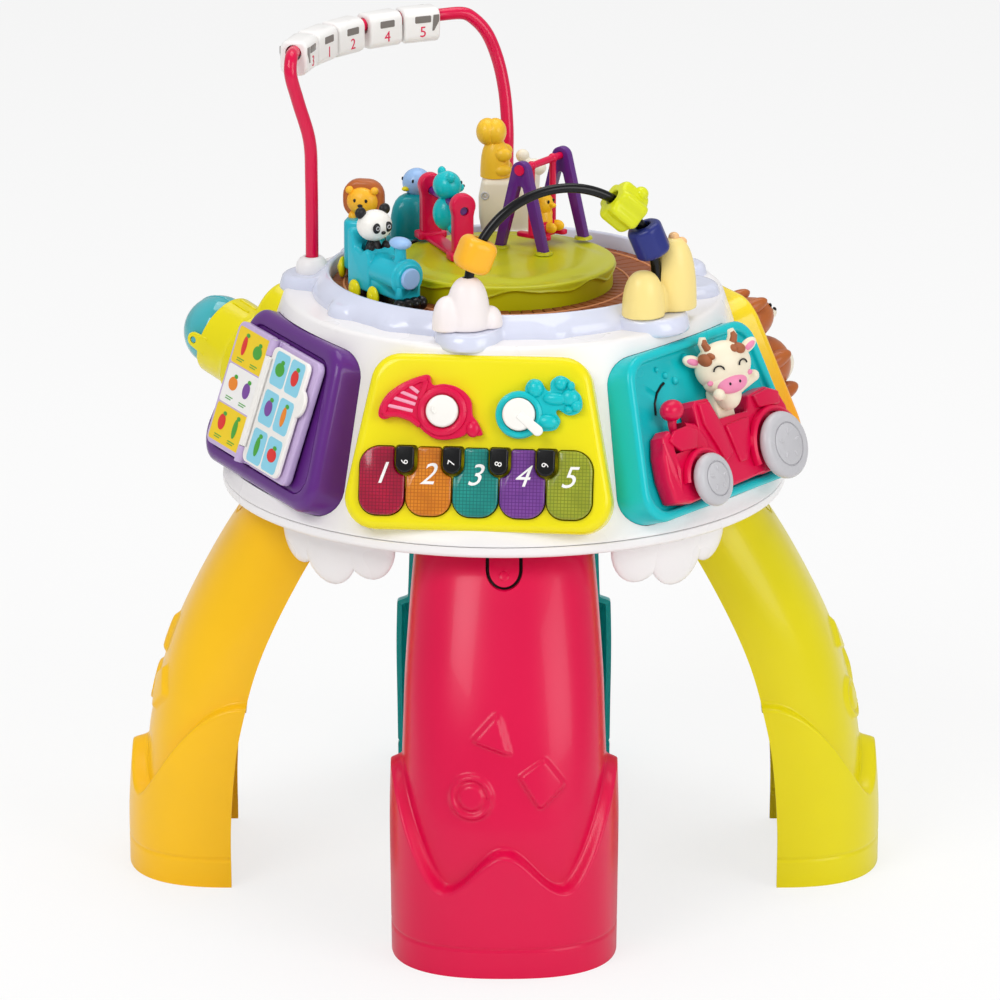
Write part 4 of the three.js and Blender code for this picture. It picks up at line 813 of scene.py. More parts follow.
black_abs = moulded_abs("black_gloss_abs", "#0a0a0c", 0.2, 0.1)
shape = bmesh.new()
figures = bmesh.new()
for place in range(4):
    slab(shape, cap_outline(place), 0.0046, 0.009, piano, 0.0013, 4)
    middle = key_row["left"] + (place + 1) * key_row["pitch"]
    slab(shape, [(middle - 0.0018, -0.0145), (middle + 0.0018, -0.0145), (middle + 0.0018, -0.0095),
                 (middle - 0.0018, -0.0095)],
         -0.0132, 0.005, piano)
    quarter = turned(78)
    printed(figures, str(place + 6), 0.0062, piano @ shift((middle, -0.0112, 0.0091)) @ quarter)
mould("black_key_caps", shape, black_abs, "base", "black", "black_keys")
mould("black_key_figures", figures, ink, "base", "white_trim")


# Horn and button: a crimson horn in relief, glued to the plate, with a fan of pale ribs in its
# bell. The white button in its coil is pushed to sound it.
def flowing(points, steps=6):
    """A closed smooth line through points."""
    count = len(points)
    line = []
    for i in range(count):
        p = [Vector(points[(i + k - 1) % count]) / 1000 for k in range(4)]
        for step in range(steps):
            t = step / steps
            line.append(tuple(0.5 * (2 * p[1] + (p[2] - p[0]) * t
                                     + (2 * p[0] - 5 * p[1] + 4 * p[2] - p[3]) * t ** 2
                                     + (3 * p[1] - p[0] - 3 * p[2] + p[3]) * t ** 3)))
    return line


def rod(shape, points, thick, place=Matrix(), sides=12, ends=True):
    """A round rod along points; thick is one radius, or one for each point."""
    line = [Vector(point) for point in points]
    sizes = thick if isinstance(thick, list) else [thick] * len(line)
    drawn = bpy.data.curves.new("rod", "CURVE")
    drawn.dimensions = "3D"
    drawn.bevel_depth = 1.0
    drawn.bevel_resolution = max(1, sides // 4 - 1)
    drawn.use_fill_caps = ends
    drawn.twist_mode = "MINIMUM"
    spline = drawn.splines.new("POLY")
    spline.points.add(len(line) - 1)
    for point, co, size in zip(spline.points, line, sizes):
        point.co = (*co, 1)
        point.radius = size
    pour_drawn(shape, drawn, place)


def hoop(shape, spot, radius, thick, height, start, end, place, flat=1.0):
    """A bead on an arc that lies on a panel, flattened if need be."""
    made = bmesh.new()
    rod(made, [(*point, 0) for point in arc(spot, radius, start, end, 40)], thick)
    pour(shape, made, place @ shift((0, 0, height)) @ Matrix.Diagonal((1, 1, flat, 1)))


horn_line = [
    (-60.5, 16), (-60, 22), (-56, 29), (-50, 34), (-43, 38), (-35, 41), (-30.5, 41), (-28.5, 35.6),
    (-22, 36.2), (-15, 35), (-9, 31.5), (-5, 26), (-4, 18), (-1, 14), (2.2, 7.5), (1.0, 5.8), (-3, 5.8),
    (-6.5, 7), (-11, 4.5), (-19, 2.8), (-26, 3.2), (-32, 6.5), (-38, 11.5), (-45, 14.7), (-52, 15.7),
    (-57, 14.2),
]
shape = bmesh.new()
slab(shape, flowing(horn_line), 0.0003, 0.0055, piano, 0.0016, 4)
hoop(shape, button_spot, 0.0128, 0.0026, 0.005, 0, 360, piano)
bell_rim = [(-58, 17.5), (-56, 24), (-51, 30), (-44, 35), (-36, 38.5), (-32, 38.3)]
rod(shape, [(x / 1000, y / 1000, 0.0052) for x, y in bell_rim], 0.0022, piano)
rod(shape, [(x / 1000, y / 1000, 0.0052) for x, y in [(-57.5, 17), (-49, 17.5), (-41, 15), (-35.5, 11)]],
    0.0019, piano)
rod(shape, [(x / 1000, y / 1000, 0.0052) for x, y in [(-32.5, 38), (-33.5, 33), (-36, 27)]], 0.0019, piano)
ball(shape, (0.0042, 0.005, 0.0026), (-0.0035, 0.0095, 0.005), piano)
mould("horn_casting", shape, crimson_abs, "base", "crimson", "horn_relief")
horn_hole = bmesh.new()
slab(horn_hole, circle(button_spot, 0.01, 48), -0.002, 0.012, piano)
carve(bpy.data.objects["horn_casting"], horn_hole)
pale_pink_ink = moulded_abs("pale_pink_ink", "#f4a9c0", 0.4, 0.1)
shape = bmesh.new()
for start, end in (((-53, 27.5), (-38.5, 23.5)), ((-49, 31.5), (-37.5, 27)), ((-43, 35), (-36.8, 30.5)),
                   ((-55, 22.5), (-40, 19.5))):
    rod(shape, [(start[0] / 1000, start[1] / 1000, 0.0052), (end[0] / 1000, end[1] / 1000, 0.0052)], 0.0012,
        piano)
mould("horn_ribs", shape, pale_pink_ink, "base", "white_trim")

button_white = moulded_abs("button_white_abs", "#f7f4ee", 0.25)
shape = bmesh.new()
profile = [(0, -0.009), (0.0097, -0.009), (0.0097, 0.0078)] + arc((0.0077, 0.0078), 0.002, 0, 90,
        6) + [(0, 0.0102)]
spun(shape, profile, piano @ shift((*button_spot, 0)), 48)
rod(shape, [(x / 1000, y / 1000, 0.0103) for x, y in [(-27.6, 22.2), (-27.9, 20), (-26, 18.2)]], 0.0009,
    piano)
mould("horn_push", shape, button_white, "horn_button", "white_trim", "horn_button")


# Animal and dial: a teal animal curled round a white dial. The dial clicks round by its lever.
shape = bmesh.new()
body_line = [
    (27.5, 30), (27.5, 37), (31, 40.5), (36, 39.6), (39.5, 34.5), (42, 34), (42.4, 39.5), (47.5, 43),
    (53.5, 40.5), (57, 35), (60.5, 31), (61.5, 24.5), (58.5, 20.5), (53, 19.5), (47.5, 22.5), (46, 20.5),
    (48.6, 16), (46, 10.8), (40, 9.6), (34, 11),
]
slab(shape, flowing(body_line), 0.0003, 0.0042, piano, 0.0014, 4)
slab(shape, circle(dial_spot, 0.0144, 48), 0.0003, 0.0042, piano, 0.0016, 4)
hoop(shape, dial_spot, 0.0121, 0.0022, 0.0042, 0, 360, piano)
egg_spots = [
    (0.0333, 0.035, 0.005, 0.0056), (0.041, 0.0152, 0.0066, 0.0048), (0.0455, 0.029, 0.0078, 0.004),
    (0.054, 0.03, 0.0056, 0.0054), (0.0485, 0.0382, 0.004, 0.0042), (0.058, 0.025, 0.0036, 0.0036),
    (0.0535, 0.0228, 0.0028, 0.0024), (0.0545, 0.0368, 0.0024, 0.003),
]
for x, y, long, wide in egg_spots:
    ball(shape, (long, wide, 0.0038), (x, y, 0.0038), piano, 24)
mould("animal_casting", shape, moulded_abs("teal_gloss_abs", "#0ac2c9", 0.26, 0.15), "base", "teal",
      "animal_relief")
dial_hole = bmesh.new()
slab(dial_hole, circle(dial_spot, 0.0101, 48), -0.002, 0.012, piano)
carve(bpy.data.objects["animal_casting"], dial_hole)
teal_abs = bpy.data.materials["teal_gloss_abs"]
shape = bmesh.new()
profile = [(0, -0.009), (0.0098, -0.009), (0.0098, 0.0085)] + arc((0.0083, 0.0085), 0.0015, 0, 90,
        5) + [(0, 0.0101)]
spun(shape, profile, piano @ shift((*dial_spot, 0)), 48)
lever_turn = shift((*dial_spot, 0)) @ turned(-39)
lever_line = [(0, 0.0026), (0, -0.0026)] + arc((0.0152, 0), 0.0032, -90, 90, 12)
slab(shape, lever_line, 0.0083, 0.0106, piano @ lever_turn, 0.0008)
mould("dial_knob", shape, button_white, "dial_switch", "white_trim", "dial_switch")


# Tractor panel: a thick teal tray with a rolled rim. Its floor has a curved slot that the lever's
# pin shows through, and a few round pimples like smoke puffs.
tractor = panel_place(1)
floor_height = -0.005
smoke_height = floor_height + 0.0004
shape = bmesh.new()
layered(shape, dished(rolled_plate(0.0032), 0.006, -floor_height), tractor)
smoke = bmesh.new()
for x, y, size in ((-3.4, 39.0, 3.0), (-17.5, 28.0, 2.6), (-25.5, 33.0, 2.2), (-32.0, 38.0, 1.7)):
    ball(smoke, (size / 1000, size / 1000, size / 1200), (x / 1000, y / 1000, smoke_height), tractor, 24)
tray_item = mould("tractor_tray", shape, teal_abs, "base", "teal", "tractor_panel")
mould("tractor_smoke", smoke, teal_abs, "base", "teal")
slot = bmesh.new()
cow_pin = bmesh.new()
slot_line = [(-43.5, 12), (-41.5, 19), (-37, 24.5), (-31, 28), (-28, 28.8)]
slot_line = [(x, y, floor_height) for x, y in mm(slot_line)]
rod(slot, slot_line, 0.0011, tractor)
slab(cow_pin, circle((0.0135, -0.006), 0.0033, 24), -0.0135, 0.001, tractor)
carve(tray_item, slot)
carve(tray_item, cow_pin)
# Painted shade: a thin black rod laid along the slot's floor stands for the shade inside the slot.
shape = bmesh.new()
rod(shape, slot_line, 0.00075, tractor)
mould("tractor_slot_painted_shade", shape, black_abs, "base", "black")

small_axle, large_axle = (-0.03, -0.034), (0.045, -0.0295)

# Tractor: a crimson shell on the tray, with a folded bonnet, an open cab, and arched mudguards
# over two grey wheels that spin freely.
shape = bmesh.new()
deep = floor_height + 0.0003
blocks = [
    ([(-60.5, -41), (-62.5, -26), (-61, -12), (-56.5, -1), (-48, 3.4), (-34, 4), (-24, 1), (-16, -10),
      (-16, -43), (-46, -44)], 0.008, 0.0022),
    ([(-54, -4), (-48, 1.2), (-35, 1.6), (-26, -3), (-31, -14), (-46, -12)], 0.01, 0.0012),
    ([(-22, -43.5), (-22, 10.5), (-18.5, 13.6), (-6, 12.6), (-2.5, -1.5), (28, -3.0), (36, 4.5), (40, -30),
      (30, -42)], 0.0076, 0.0014),
    ([(-18, -1), (-18.6, 11.5), (-8, 11), (-1.5, -5), (2.5, -24), (-6, -27)], 0.0098, 0.0013),
    ([(2, -6.5), (26, -6.0), (22, -22), (16, -31), (8, -31)], 0.0094, 0.0013),
    ([(28, -4), (33, 5.8), (51, 7.4), (62, 3), (67, -8), (66.8, -24), (46, -42.5), (28, -43)], 0.0072,
     0.0016),
    ([(35, 4.8), (50, 6.2), (60, 2.4), (58, -5.5), (38, -3.5)], 0.01, 0.0012),
]
for line, top, edge in blocks:
    slab(shape, mm(line), deep, top, tractor, edge, 3)
hoop(shape, small_axle, 0.0184, 0.0021, 0.0092, 28, 172, tractor, 1.5)
hoop(shape, large_axle, 0.0233, 0.0022, 0.0092, 18, 196, tractor, 1.5)
for line, thick in (([(-57.5, -4), (-57, -20), (-52.5, -36)], 3.4),
                    ([(-50.5, -8), (-51, -22), (-54, -38)], 2.6)):
    rod(shape, [(x / 1000, y / 1000, 0.0066) for x, y in line], [0.0012, thick / 1000, 0.0014], tractor)
body_item = mould("tractor_shell", shape, crimson_abs, "base", "crimson", "tractor_body")
wells = bmesh.new()
slab(wells, mm([(-2.5, -16.3), (29.5, -16.3), (29.5, 14.3), (-2.5, 14.3)]), -0.01, 0.0043, tractor)
slab(wells, mm([(-50.3, -12.6), (-33.7, -12.6), (-33.7, 9.6), (-50.3, 9.6)]), -0.01, 0.0083, tractor)
carve(body_item, wells)
for spot in (small_axle, large_axle):
    well = bmesh.new()
    slab(well, circle(spot, 0.0033, 24), -0.01, 0.012, tractor)
    carve(body_item, well)

grey_abs = moulded_abs("warm_grey_gloss_abs", "#c3c2c6", 0.28)
for name, spot, radius in (("small", small_axle, 0.0163), ("large", large_axle, 0.0208)):
    hub = radius * 0.62
    tyre = ([(0, -0.0027), (0.003, -0.0027), (0.003, 0.0106), (radius - 0.0032, 0.0106)]
            + arc((radius - 0.0042, 0.0148), 0.0042, -90, 90, 14)
            + [(hub + 0.0009, 0.019), (hub + 0.0005, 0.0182), (hub + 0.0001, 0.0182), (hub - 0.0002, 0.019),
               (hub - 0.001, 0.0194), (0, 0.0197)])
    shape = bmesh.new()
    spun(shape, tyre, tractor @ shift((*spot, 0)), 64)
    for turn in range(5):
        at = turned(72 * turn + 12) @ shift((hub * 0.62, 0, 0.0195))
        ball(shape, (hub * 0.2, hub * 0.09, 0.0006), (0, 0, 0), tractor @ shift((*spot, 0)) @ at, 16)
    mould(name + "_tyre", shape, grey_abs, name + "_wheel", "grey", name + "_wheel")

# Chimney: a crimson lever with a squashed knob, pinned to the bonnet. Swinging it works the clicker.
shape = bmesh.new()
boss = [(0, 0.0014), (0.005, 0.0014), (0.005, 0.006), (0.0042, 0.0068), (0, 0.007)]
spun(shape, boss, tractor @ shift((-0.042, -0.007, 0)), 32)
rod(shape, [(-0.042, -0.007, 0.004), (-0.042, 0.004, 0.0042), (-0.042, 0.01, 0.0058)],
    [0.003, 0.0026, 0.0032], tractor)
ball(shape, (0.0082, 0.0066, 0.0068), (-0.042, 0.013, 0.0068), tractor)
rod(shape, [(-0.042, -0.007, -0.0012), (-0.042, -0.007, 0.005)], 0.0017, tractor)
mould("chimney_lever_moulding", shape, crimson_abs, "chimney_lever", "crimson", "chimney_lever")


# Cow: a cream vinyl-smooth moulding that rocks in the cab on one pin. Eyes, blush and patches are
# sprayed on, and the ears and horns are glued in.
cow_place = tractor @ shift((0.0135, 0, 0))
cream_vinyl = moulded_abs("cream_satin_vinyl", "#f3e8cf", 0.42, 0.1)
brown_paint = moulded_abs("brown_spray_paint", "#a5603c", 0.5, 0.0)
pink_vinyl = moulded_abs("pink_satin_vinyl", "#ee8fb4", 0.4, 0.1)
black_paint = moulded_abs("black_spray_paint", "#1d1a1c", 0.45, 0.0)


def tipped(x, y, z, turn):
    return shift((x, y, z)) @ turned(turn)


neck = shift((0, 0.0265, 0.009))
cow_head = (cow_place @ neck @ turned(-26, "Y") @ turned(9, "X")
            @ neck.inverted())
shape = bmesh.new()
slab(shape, mm([(-8.5, -10), (8.5, -10), (8.6, 4), (7, 16), (-7, 16), (-8.6, 4)]), -0.0044, 0.0033,
     cow_place, 0.002)
ball(shape, (0.0094, 0.011, 0.0085), (0, 0.012, 0.0072), cow_place)
ball(shape, (0.0186, 0.0152, 0.0118), (0, 0.0285, 0.0092), cow_head, 48)
ball(shape, (0.0156, 0.0098, 0.0102), (0, 0.0205, 0.0104), cow_head, 40)
for side in (-1, 1):
    ball(shape, (0.0066, 0.0038, 0.0026), (0, 0, 0),
         cow_head @ tipped(side * 0.0195, 0.036, 0.0085, side * 26))
    hand = (0.018, 0.0172, 0.016) if side > 0 else (-0.015, 0.0128, 0.0128)
    rod(shape, [(side * 0.006, 0.011, 0.008), (side * 0.0108, 0.013, 0.01), hand],
        [0.0036, 0.0034, 0.0036], cow_place, 20)
    ball(shape, (0.0037, 0.0037, 0.0037), hand, cow_place, 24)
    rod(shape, [(side * 0.0085, 0.0395, 0.0086), (side * 0.0105, 0.0452, 0.0088),
                (side * 0.0098, 0.0486, 0.0088)],
        [0.0036, 0.003, 0.002], cow_head, 20)
rod(shape, [(0, -0.006, -0.0128), (0, -0.006, 0)], 0.0029, cow_place)
mould("cow_moulding", shape, cream_vinyl, "cow", "cream", "cow")
shape = bmesh.new()
for side in (-1, 1):
    rod(shape, [(side * 0.0086, 0.0405, 0.0108), (side * 0.0104, 0.045, 0.0108),
                (side * 0.0098, 0.0474, 0.0104)],
        [0.0026, 0.0022, 0.0013], cow_head, 16)
for x, y, z, wide, tall in ((0.0092, 0.0368, 0.0128, 0.0056, 0.004),
                            (0.0058, 0.0382, 0.0132, 0.0034, 0.0028),
                            (-0.0128, 0.0352, 0.0124, 0.004, 0.0042),
                            (-0.0098, 0.0372, 0.013, 0.0026, 0.0024)):
    ball(shape, (wide, tall, 0.0065), (x, y, z), cow_head, 28)
mould("cow_horns_and_patches", shape, brown_paint, "cow", "brown_floor")
shape = bmesh.new()
ball(shape, (0.0104, 0.0062, 0.005), (0, 0.0182, 0.0172), cow_head, 40)
for side in (-1, 1):
    ball(shape, (0.0042, 0.0021, 0.0012), (0, 0, 0),
         cow_head @ tipped(side * 0.0198, 0.036, 0.0104, side * 26))
    ball(shape, (0.0022, 0.0016, 0.001), (side * 0.0136, 0.0215, 0.016), cow_head)
mould("cow_muzzle_and_ears", shape, pink_vinyl, "cow", "crimson")
shape = bmesh.new()
for side in (-1, 1):
    eye = [(side * 0.0084 + 0.0031 * math.cos(t), 0.0286 + 0.0029 * math.sin(t),
            0.0203 - 0.001 * math.cos(t) * side)
           for t in [math.pi * i / 8 for i in range(9)]]
    rod(shape, eye, 0.0005, cow_head)
    ball(shape, (0.0008, 0.001, 0.0006), (side * 0.0034, 0.0192, 0.0219), cow_head, 12)
mould("cow_eyes", shape, black_paint, "cow", "black")


# Book panel: a purple plate with a step inside its edge. A lilac tray with the left page is glued
# on it, and the right page turns on a barrel hinge.
book_place = panel_place(5)
purple_abs = moulded_abs("purple_gloss_abs", "#5f2680", 0.24, 0.15)
lilac_abs = moulded_abs("lilac_gloss_abs", "#c9b3dc", 0.28)
shape = bmesh.new()
layered(shape, dished(rolled_plate(0.0055), 0.0095, 0.0012, 0.001), book_place)
mould("book_plate", shape, purple_abs, "base", "purple", "book_panel")
page = {"left": -0.062, "right": 0.054, "half": 0.039, "top": 0.0052, "left_top": 0.0058, "spine": -0.006,
        "axis": 0.008, "barrel": 0.0032, "lug_inner": 0.029}
shape = bmesh.new()


def round_box(shape, left, right, low, high, bottom, top, place, corner=0.003, edge=0.0008):
    """A flat box with round corners and softened edges."""
    slab(shape, arc((left + corner, low + corner), corner, 180, 270, 6)
         + arc((right - corner, low + corner), corner, 270, 360, 6)
         + arc((right - corner, high - corner), corner, 0, 90, 6)
         + arc((left + corner, high - corner), corner, 90, 180, 6), bottom, top, place, edge)


round_box(shape, page["spine"] + 0.004, page["right"], -page["half"], page["half"], 0.0003, page["top"],
          book_place, 0.006, 0.0012)
round_box(shape, page["left"], page["spine"] - 0.0064, -page["half"], page["half"], 0.0003,
          page["left_top"], book_place, 0.006, 0.0012)
round_box(shape, page["spine"] - 0.006, page["spine"] + 0.006, -page["half"], page["half"], 0.0003, 0.004,
          book_place, 0.001, 0.0004)
along_spine = turned(90, "X")
for side in (-1, 1):
    knuckle = [(0.002, 0), (page["barrel"], 0), (page["barrel"], 0.01), (0.002, 0.01), (0.002, 0)]
    start = page["half"] if side > 0 else -page["lug_inner"]
    spun(shape, knuckle, book_place @ shift((page["spine"], start, page["axis"])) @ along_spine, 28)
    low, high = sorted((side * page["lug_inner"], side * page["half"]))
    round_box(shape, page["spine"] - 0.003, page["spine"] + 0.003, low, high, 0.0003, 0.0055, book_place,
              0.0006, 0.0003)
mould("book_tray", shape, lilac_abs, "base", "lilac", "book_base")

page_plastic = moulded_abs("white_page_polypropylene", "#f6f3ee", 0.4, 0.1)
shape = bmesh.new()
barrel_half = page["lug_inner"] - 0.0004
barrel = [(0, -page["half"]), (0.0016, -page["half"]), (0.0016, -barrel_half), (0.0031, -barrel_half),
          (0.0031, barrel_half), (0.0016, barrel_half), (0.0016, page["half"]), (0, page["half"])]
spun(shape, barrel, book_place @ shift((page["spine"], 0, page["axis"])) @ along_spine, 28)
round_box(shape, page["spine"] + 0.0042, 0.049, -0.0365, 0.0365, 0.0066, 0.0096, book_place, 0.005, 0.001)
round_box(shape, page["spine"], page["spine"] + 0.008, -barrel_half, barrel_half, 0.0066, 0.0096,
          book_place, 0.0006, 0.0004)
slab(shape, arc((0.047, 0.012), 0.0089, -90, 90, 16) + [(0.04, 0.0209), (0.04, 0.0031)], 0.0068, 0.0094,
     book_place, 0.0008)
mould("book_leaf", shape, page_plastic, "book_page", "white_trim", "book_page")

# Page prints: a yellow and white left page with small fruit, and a grid of pale blue cells with
# vegetables on the right one. They are plain shapes, printed in flat inks.
inks = {
    "yellow_ink": "#f6d21e", "pale_blue_ink": "#8fd4ea", "red_ink": "#e2332f", "green_ink": "#4aa73a",
    "orange_ink": "#f08a24", "purple_ink": "#7c4aa0",
}
looks = {name: moulded_abs(name, shade, 0.5, 0.0) for name, shade in inks.items()}
prints = {(name, body): bmesh.new() for name in [*inks, "white_ink"] for body in ("base", "book_page")}


def fruit(shape, leaf_shape, x, y, height, kind, place):
    """A printed fruit, 6 to 12 mm across, with its leaf."""
    wide, tall = ((0.005, 0.005), (0.0032, 0.0062), (0.0062, 0.0042))[kind]
    ball(shape, (wide, tall, 0.00015), (x, y, height), place, 20)
    ball(leaf_shape, (0.0026, 0.0014, 0.00015), (x + 0.0016, y + tall + 0.0006, height), place, 12)


left_edge, left_far = page["left"] + 0.003, page["spine"] - 0.0092
for low, high, name in ((-0.036, -0.013, "yellow_ink"), (-0.012, 0.012, "white_ink"),
                        (0.013, 0.036, "yellow_ink")):
    round_box(prints[(name, "base")], left_edge, left_far, low, high, 0.0056, 0.0059, book_place, 0.002, 0)
rows, columns = 3, 2
fruit_inks = ["red_ink", "green_ink", "orange_ink", "purple_ink", "red_ink", "green_ink"]
for row in range(rows):
    for column in range(columns):
        number = row * columns + column
        y = (row - 1) * 0.0245 + 0.001
        x = left_edge + (left_far - left_edge) * (0.28 + 0.44 * column)
        fruit(prints[(fruit_inks[number], "base")], prints[("green_ink", "base")], x, y, 0.006, number % 3,
              book_place)
        for line in range(2):
            round_box(prints[("green_ink", "base")], x - 0.005, x + 0.005 - 0.002 * line,
                      y - 0.0088 - 0.0014 * line, y - 0.0082 - 0.0014 * line, 0.0058, 0.006, book_place,
                      0.0002, 0)
        cell_x = 0.0045 + 0.0215 * column
        round_box(prints[("pale_blue_ink", "book_page")], cell_x, cell_x + 0.0195, y - 0.0115, y + 0.0095,
                  0.0094, 0.0097, book_place, 0.003, 0)
        fruit(prints[(fruit_inks[5 - number], "book_page")], prints[("green_ink", "book_page")],
              cell_x + 0.0097, y - 0.001, 0.0098, (number + 1) % 3, book_place)
looks["white_ink"] = ink
slot_of_ink = {"yellow_ink": "pale_yellow", "pale_blue_ink": "white_trim", "red_ink": "crimson",
               "green_ink": "lime", "orange_ink": "orange", "purple_ink": "purple",
               "white_ink": "white_trim"}
for (name, body), shape in prints.items():
    if len(shape.verts):
        mould("print_%s_%s" % (name, body), shape, looks[name], body, slot_of_ink[name])
    else:
        shape.free()


# Ball panel: a yellow plate with a deep cup on it, two pale ribs down the cup's side. A clear teal
# ball spins in the cup on a pin, with most of it inside.
ball_place = panel_place(4)
cup_spot, cup_inner, cup_outer, cup_top, ball_height = (0.054, 0.0), 0.0232, 0.0259, 0.024, 0.028
shape = bmesh.new()
layered(shape, rolled_plate(0.005), ball_place)
cup_place = ball_place @ shift((*cup_spot, 0))
cup = ([(0, -0.004), (cup_outer + 0.003, -0.004), (cup_outer + 0.003, 0.0005), (cup_outer + 0.0008, 0.0025),
        (cup_outer, 0.006)]
       + arc((cup_outer - 0.00135, cup_top - 0.00135), 0.00135, 0, 180, 8)
       + [(cup_inner, 0.0045), (cup_inner - 0.002, 0.0041), (0, 0.0041)])
spun(shape, cup, cup_place, 72)
for turn in (-100, -84, 80, 96):
    rib = cup_place @ turned(turn)
    rod(shape, [(cup_outer, 0, 0.008), (cup_outer, 0, 0.021)], 0.0008, rib, 8)
for side in (-1, 1):
    ear = cup_place @ shift((side * 0.0246 - 0.0013, 0, 0)) @ turned(90, "Y")
    slab(shape, [(-0.018, 0.006), (-0.018, -0.006)] + arc((-ball_height, 0), 0.0048, 270, 90, 12), 0,
         0.0026, ear, 0.0008)
cup_item = mould("ball_plate", shape, yellow_abs, "base", "lime_panel", "ball_panel")
bore = bmesh.new()
rod(bore, [(-0.03, 0, ball_height), (0.03, 0, ball_height)], 0.0023, cup_place, 24)
carve(cup_item, bore)

clear_teal = bpy.data.materials.new("clear_teal_polycarbonate")
tree = bare_tree(clear_teal)
depth_look = add(tree, "TexNoise", {"Scale": 1 / 0.02, "Detail": 1.0},
                 {"Vector": add(tree, "TexCoord").outputs["Object"]})
tint = add(tree, "MixRGB", {"Color1": linear("#22b4c0"), "Color2": linear("#5fd0da")},
           {"Fac": depth_look.outputs["Fac"]})
shell = add(tree, "BsdfPrincipled", {"Roughness": 0.07, "IOR": 1.58, "Transmission Weight": 0.25,
                                     "Coat Weight": 0.3, "Coat Roughness": 0.03},
                                     {"Base Color": tint.outputs[0]})
add(tree, "OutputMaterial", links={"Surface": shell.outputs[0]})
shape = bmesh.new()
ball(shape, (0.0225, 0.0225, 0.0225), (0, 0, ball_height), cup_place, 64)
rod(shape, [(-0.0255, 0, ball_height), (-0.021, 0, ball_height)], 0.0019, cup_place, 16)
rod(shape, [(0.0255, 0, ball_height), (0.021, 0, ball_height)], 0.0019, cup_place, 16)
hoop(shape, (0, 0), 0.0224, 0.0006, 0, 0, 360, cup_place @ shift((0, 0, ball_height)) @ turned(90, "Y"))
mould("clear_ball", shape, clear_teal, "roller_ball", "teal", "roller_ball")


# Figure panel: an orange plate with a painted reflection that turns its colour yellow towards
# the top, with a low animal in relief on it. The front view shows it edge on.
figure_place = panel_place(2)
painted_reflection_abs = moulded_abs("orange_panel_abs", "#fdb61c", 0.26, 0.4)
tree = painted_reflection_abs.node_tree
surface = next(node for node in tree.nodes if node.type == "BSDF_PRINCIPLED")
# Painted reflection: the plate's colour runs from orange at its foot to a lighter yellow at its top.
rise = add(tree, "Mapping", {"vector_type": "TEXTURE", "Location": figure_place.to_translation(),
                             "Rotation": figure_place.to_euler()},
           {"Vector": add(tree, "TexCoord").outputs["Object"]})
up = add(tree, "SeparateXYZ", links={"Vector": rise.outputs[0]})
share = add(tree, "MapRange", {"From Min": -0.02, "From Max": 0.05}, {"Value": up.outputs["Y"]})
painted_reflection = add(tree, "MixRGB", {"Color1": linear("#fda912"), "Color2": linear("#f8dc18")},
          {"Fac": share.outputs[0]})
tree.links.new(painted_reflection.outputs[0], surface.inputs["Base Color"])
shape = bmesh.new()
layered(shape, rolled_plate(0.0045), figure_place)
mould("figure_plate", shape, painted_reflection_abs, "base", "orange", "figure_panel")


def dome(shape, radii, centre, place=Matrix(), segments=36, fullness=2.0):
    """The upper half of an egg, closed underneath; a higher fullness squares its shoulders."""
    made = bmesh.new()
    bmesh.ops.create_uvsphere(made, u_segments=segments, v_segments=segments // 2, radius=1)
    cut = bmesh.ops.bisect_plane(made, geom=made.verts[:] + made.edges[:] + made.faces[:], dist=1e-6,
                                 plane_co=(0, 0, 0), plane_no=(0, 0, 1), clear_inner=True)["geom_cut"]
    bmesh.ops.contextual_create(made, geom=[part for part in cut if isinstance(part, bmesh.types.BMEdge)])
    bmesh.ops.recalc_face_normals(made, faces=made.faces)
    for vertex in made.verts:
        across, height = math.hypot(vertex.co.x, vertex.co.y), abs(vertex.co.z)
        if across + height > 0.5:
            vertex.co *= (across ** fullness + height ** fullness) ** (-1 / fullness)
    made.transform(shift(centre) @ Matrix.Diagonal((*radii, 1)))
    pour(shape, made, place)


brown_abs = moulded_abs("brown_gloss_abs", "#b5622c", 0.3)
cream_abs = moulded_abs("cream_gloss_abs", "#efe7d3", 0.3)
relief = figure_place @ shift((-0.04, 0.004, 0))
shape, pale_shape = bmesh.new(), bmesh.new()
dome(shape, (0.015, 0.0135, 0.0185), (0, 0.024, 0), relief)
for side in (-1, 1):
    dome(shape, (0.0048, 0.0048, 0.013), (side * 0.0112, 0.0355, 0), relief)
    dome(shape, (0.007, 0.006, 0.016), (side * 0.015, -0.002, 0), relief)
    dome(shape, (0.008, 0.006, 0.016), (side * 0.0105, -0.026, 0), relief)
dome(shape, (0.0175, 0.019, 0.02), (0, -0.008, 0), relief)
mould("figure_brown", shape, brown_abs, "base", "brown_floor")
dome(pale_shape, (0.0125, 0.015, 0.0225), (0, -0.012, 0), relief)
dome(pale_shape, (0.0072, 0.0052, 0.0215), (0, 0.0205, 0), relief)
mould("figure_cream", pale_shape, cream_abs, "base", "cream")
shape = bmesh.new()
for side in (-1, 1):
    ball(shape, (0.0012, 0.0014, 0.0008), (side * 0.0055, 0.0285, 0.0166), relief, 12)
ball(shape, (0.0018, 0.0013, 0.001), (0, 0.0222, 0.0208), relief, 12)
mould("figure_eyes", shape, black_paint, "base", "black")

# Back panel: a plain crimson tray behind the back leg, the same moulding as the tractor's.
shape = bmesh.new()
layered(shape, dished(rolled_plate(0.0032), 0.006, 0.005), panel_place(3))
mould("back_tray", shape, crimson_abs, "base", "crimson", "back_panel")


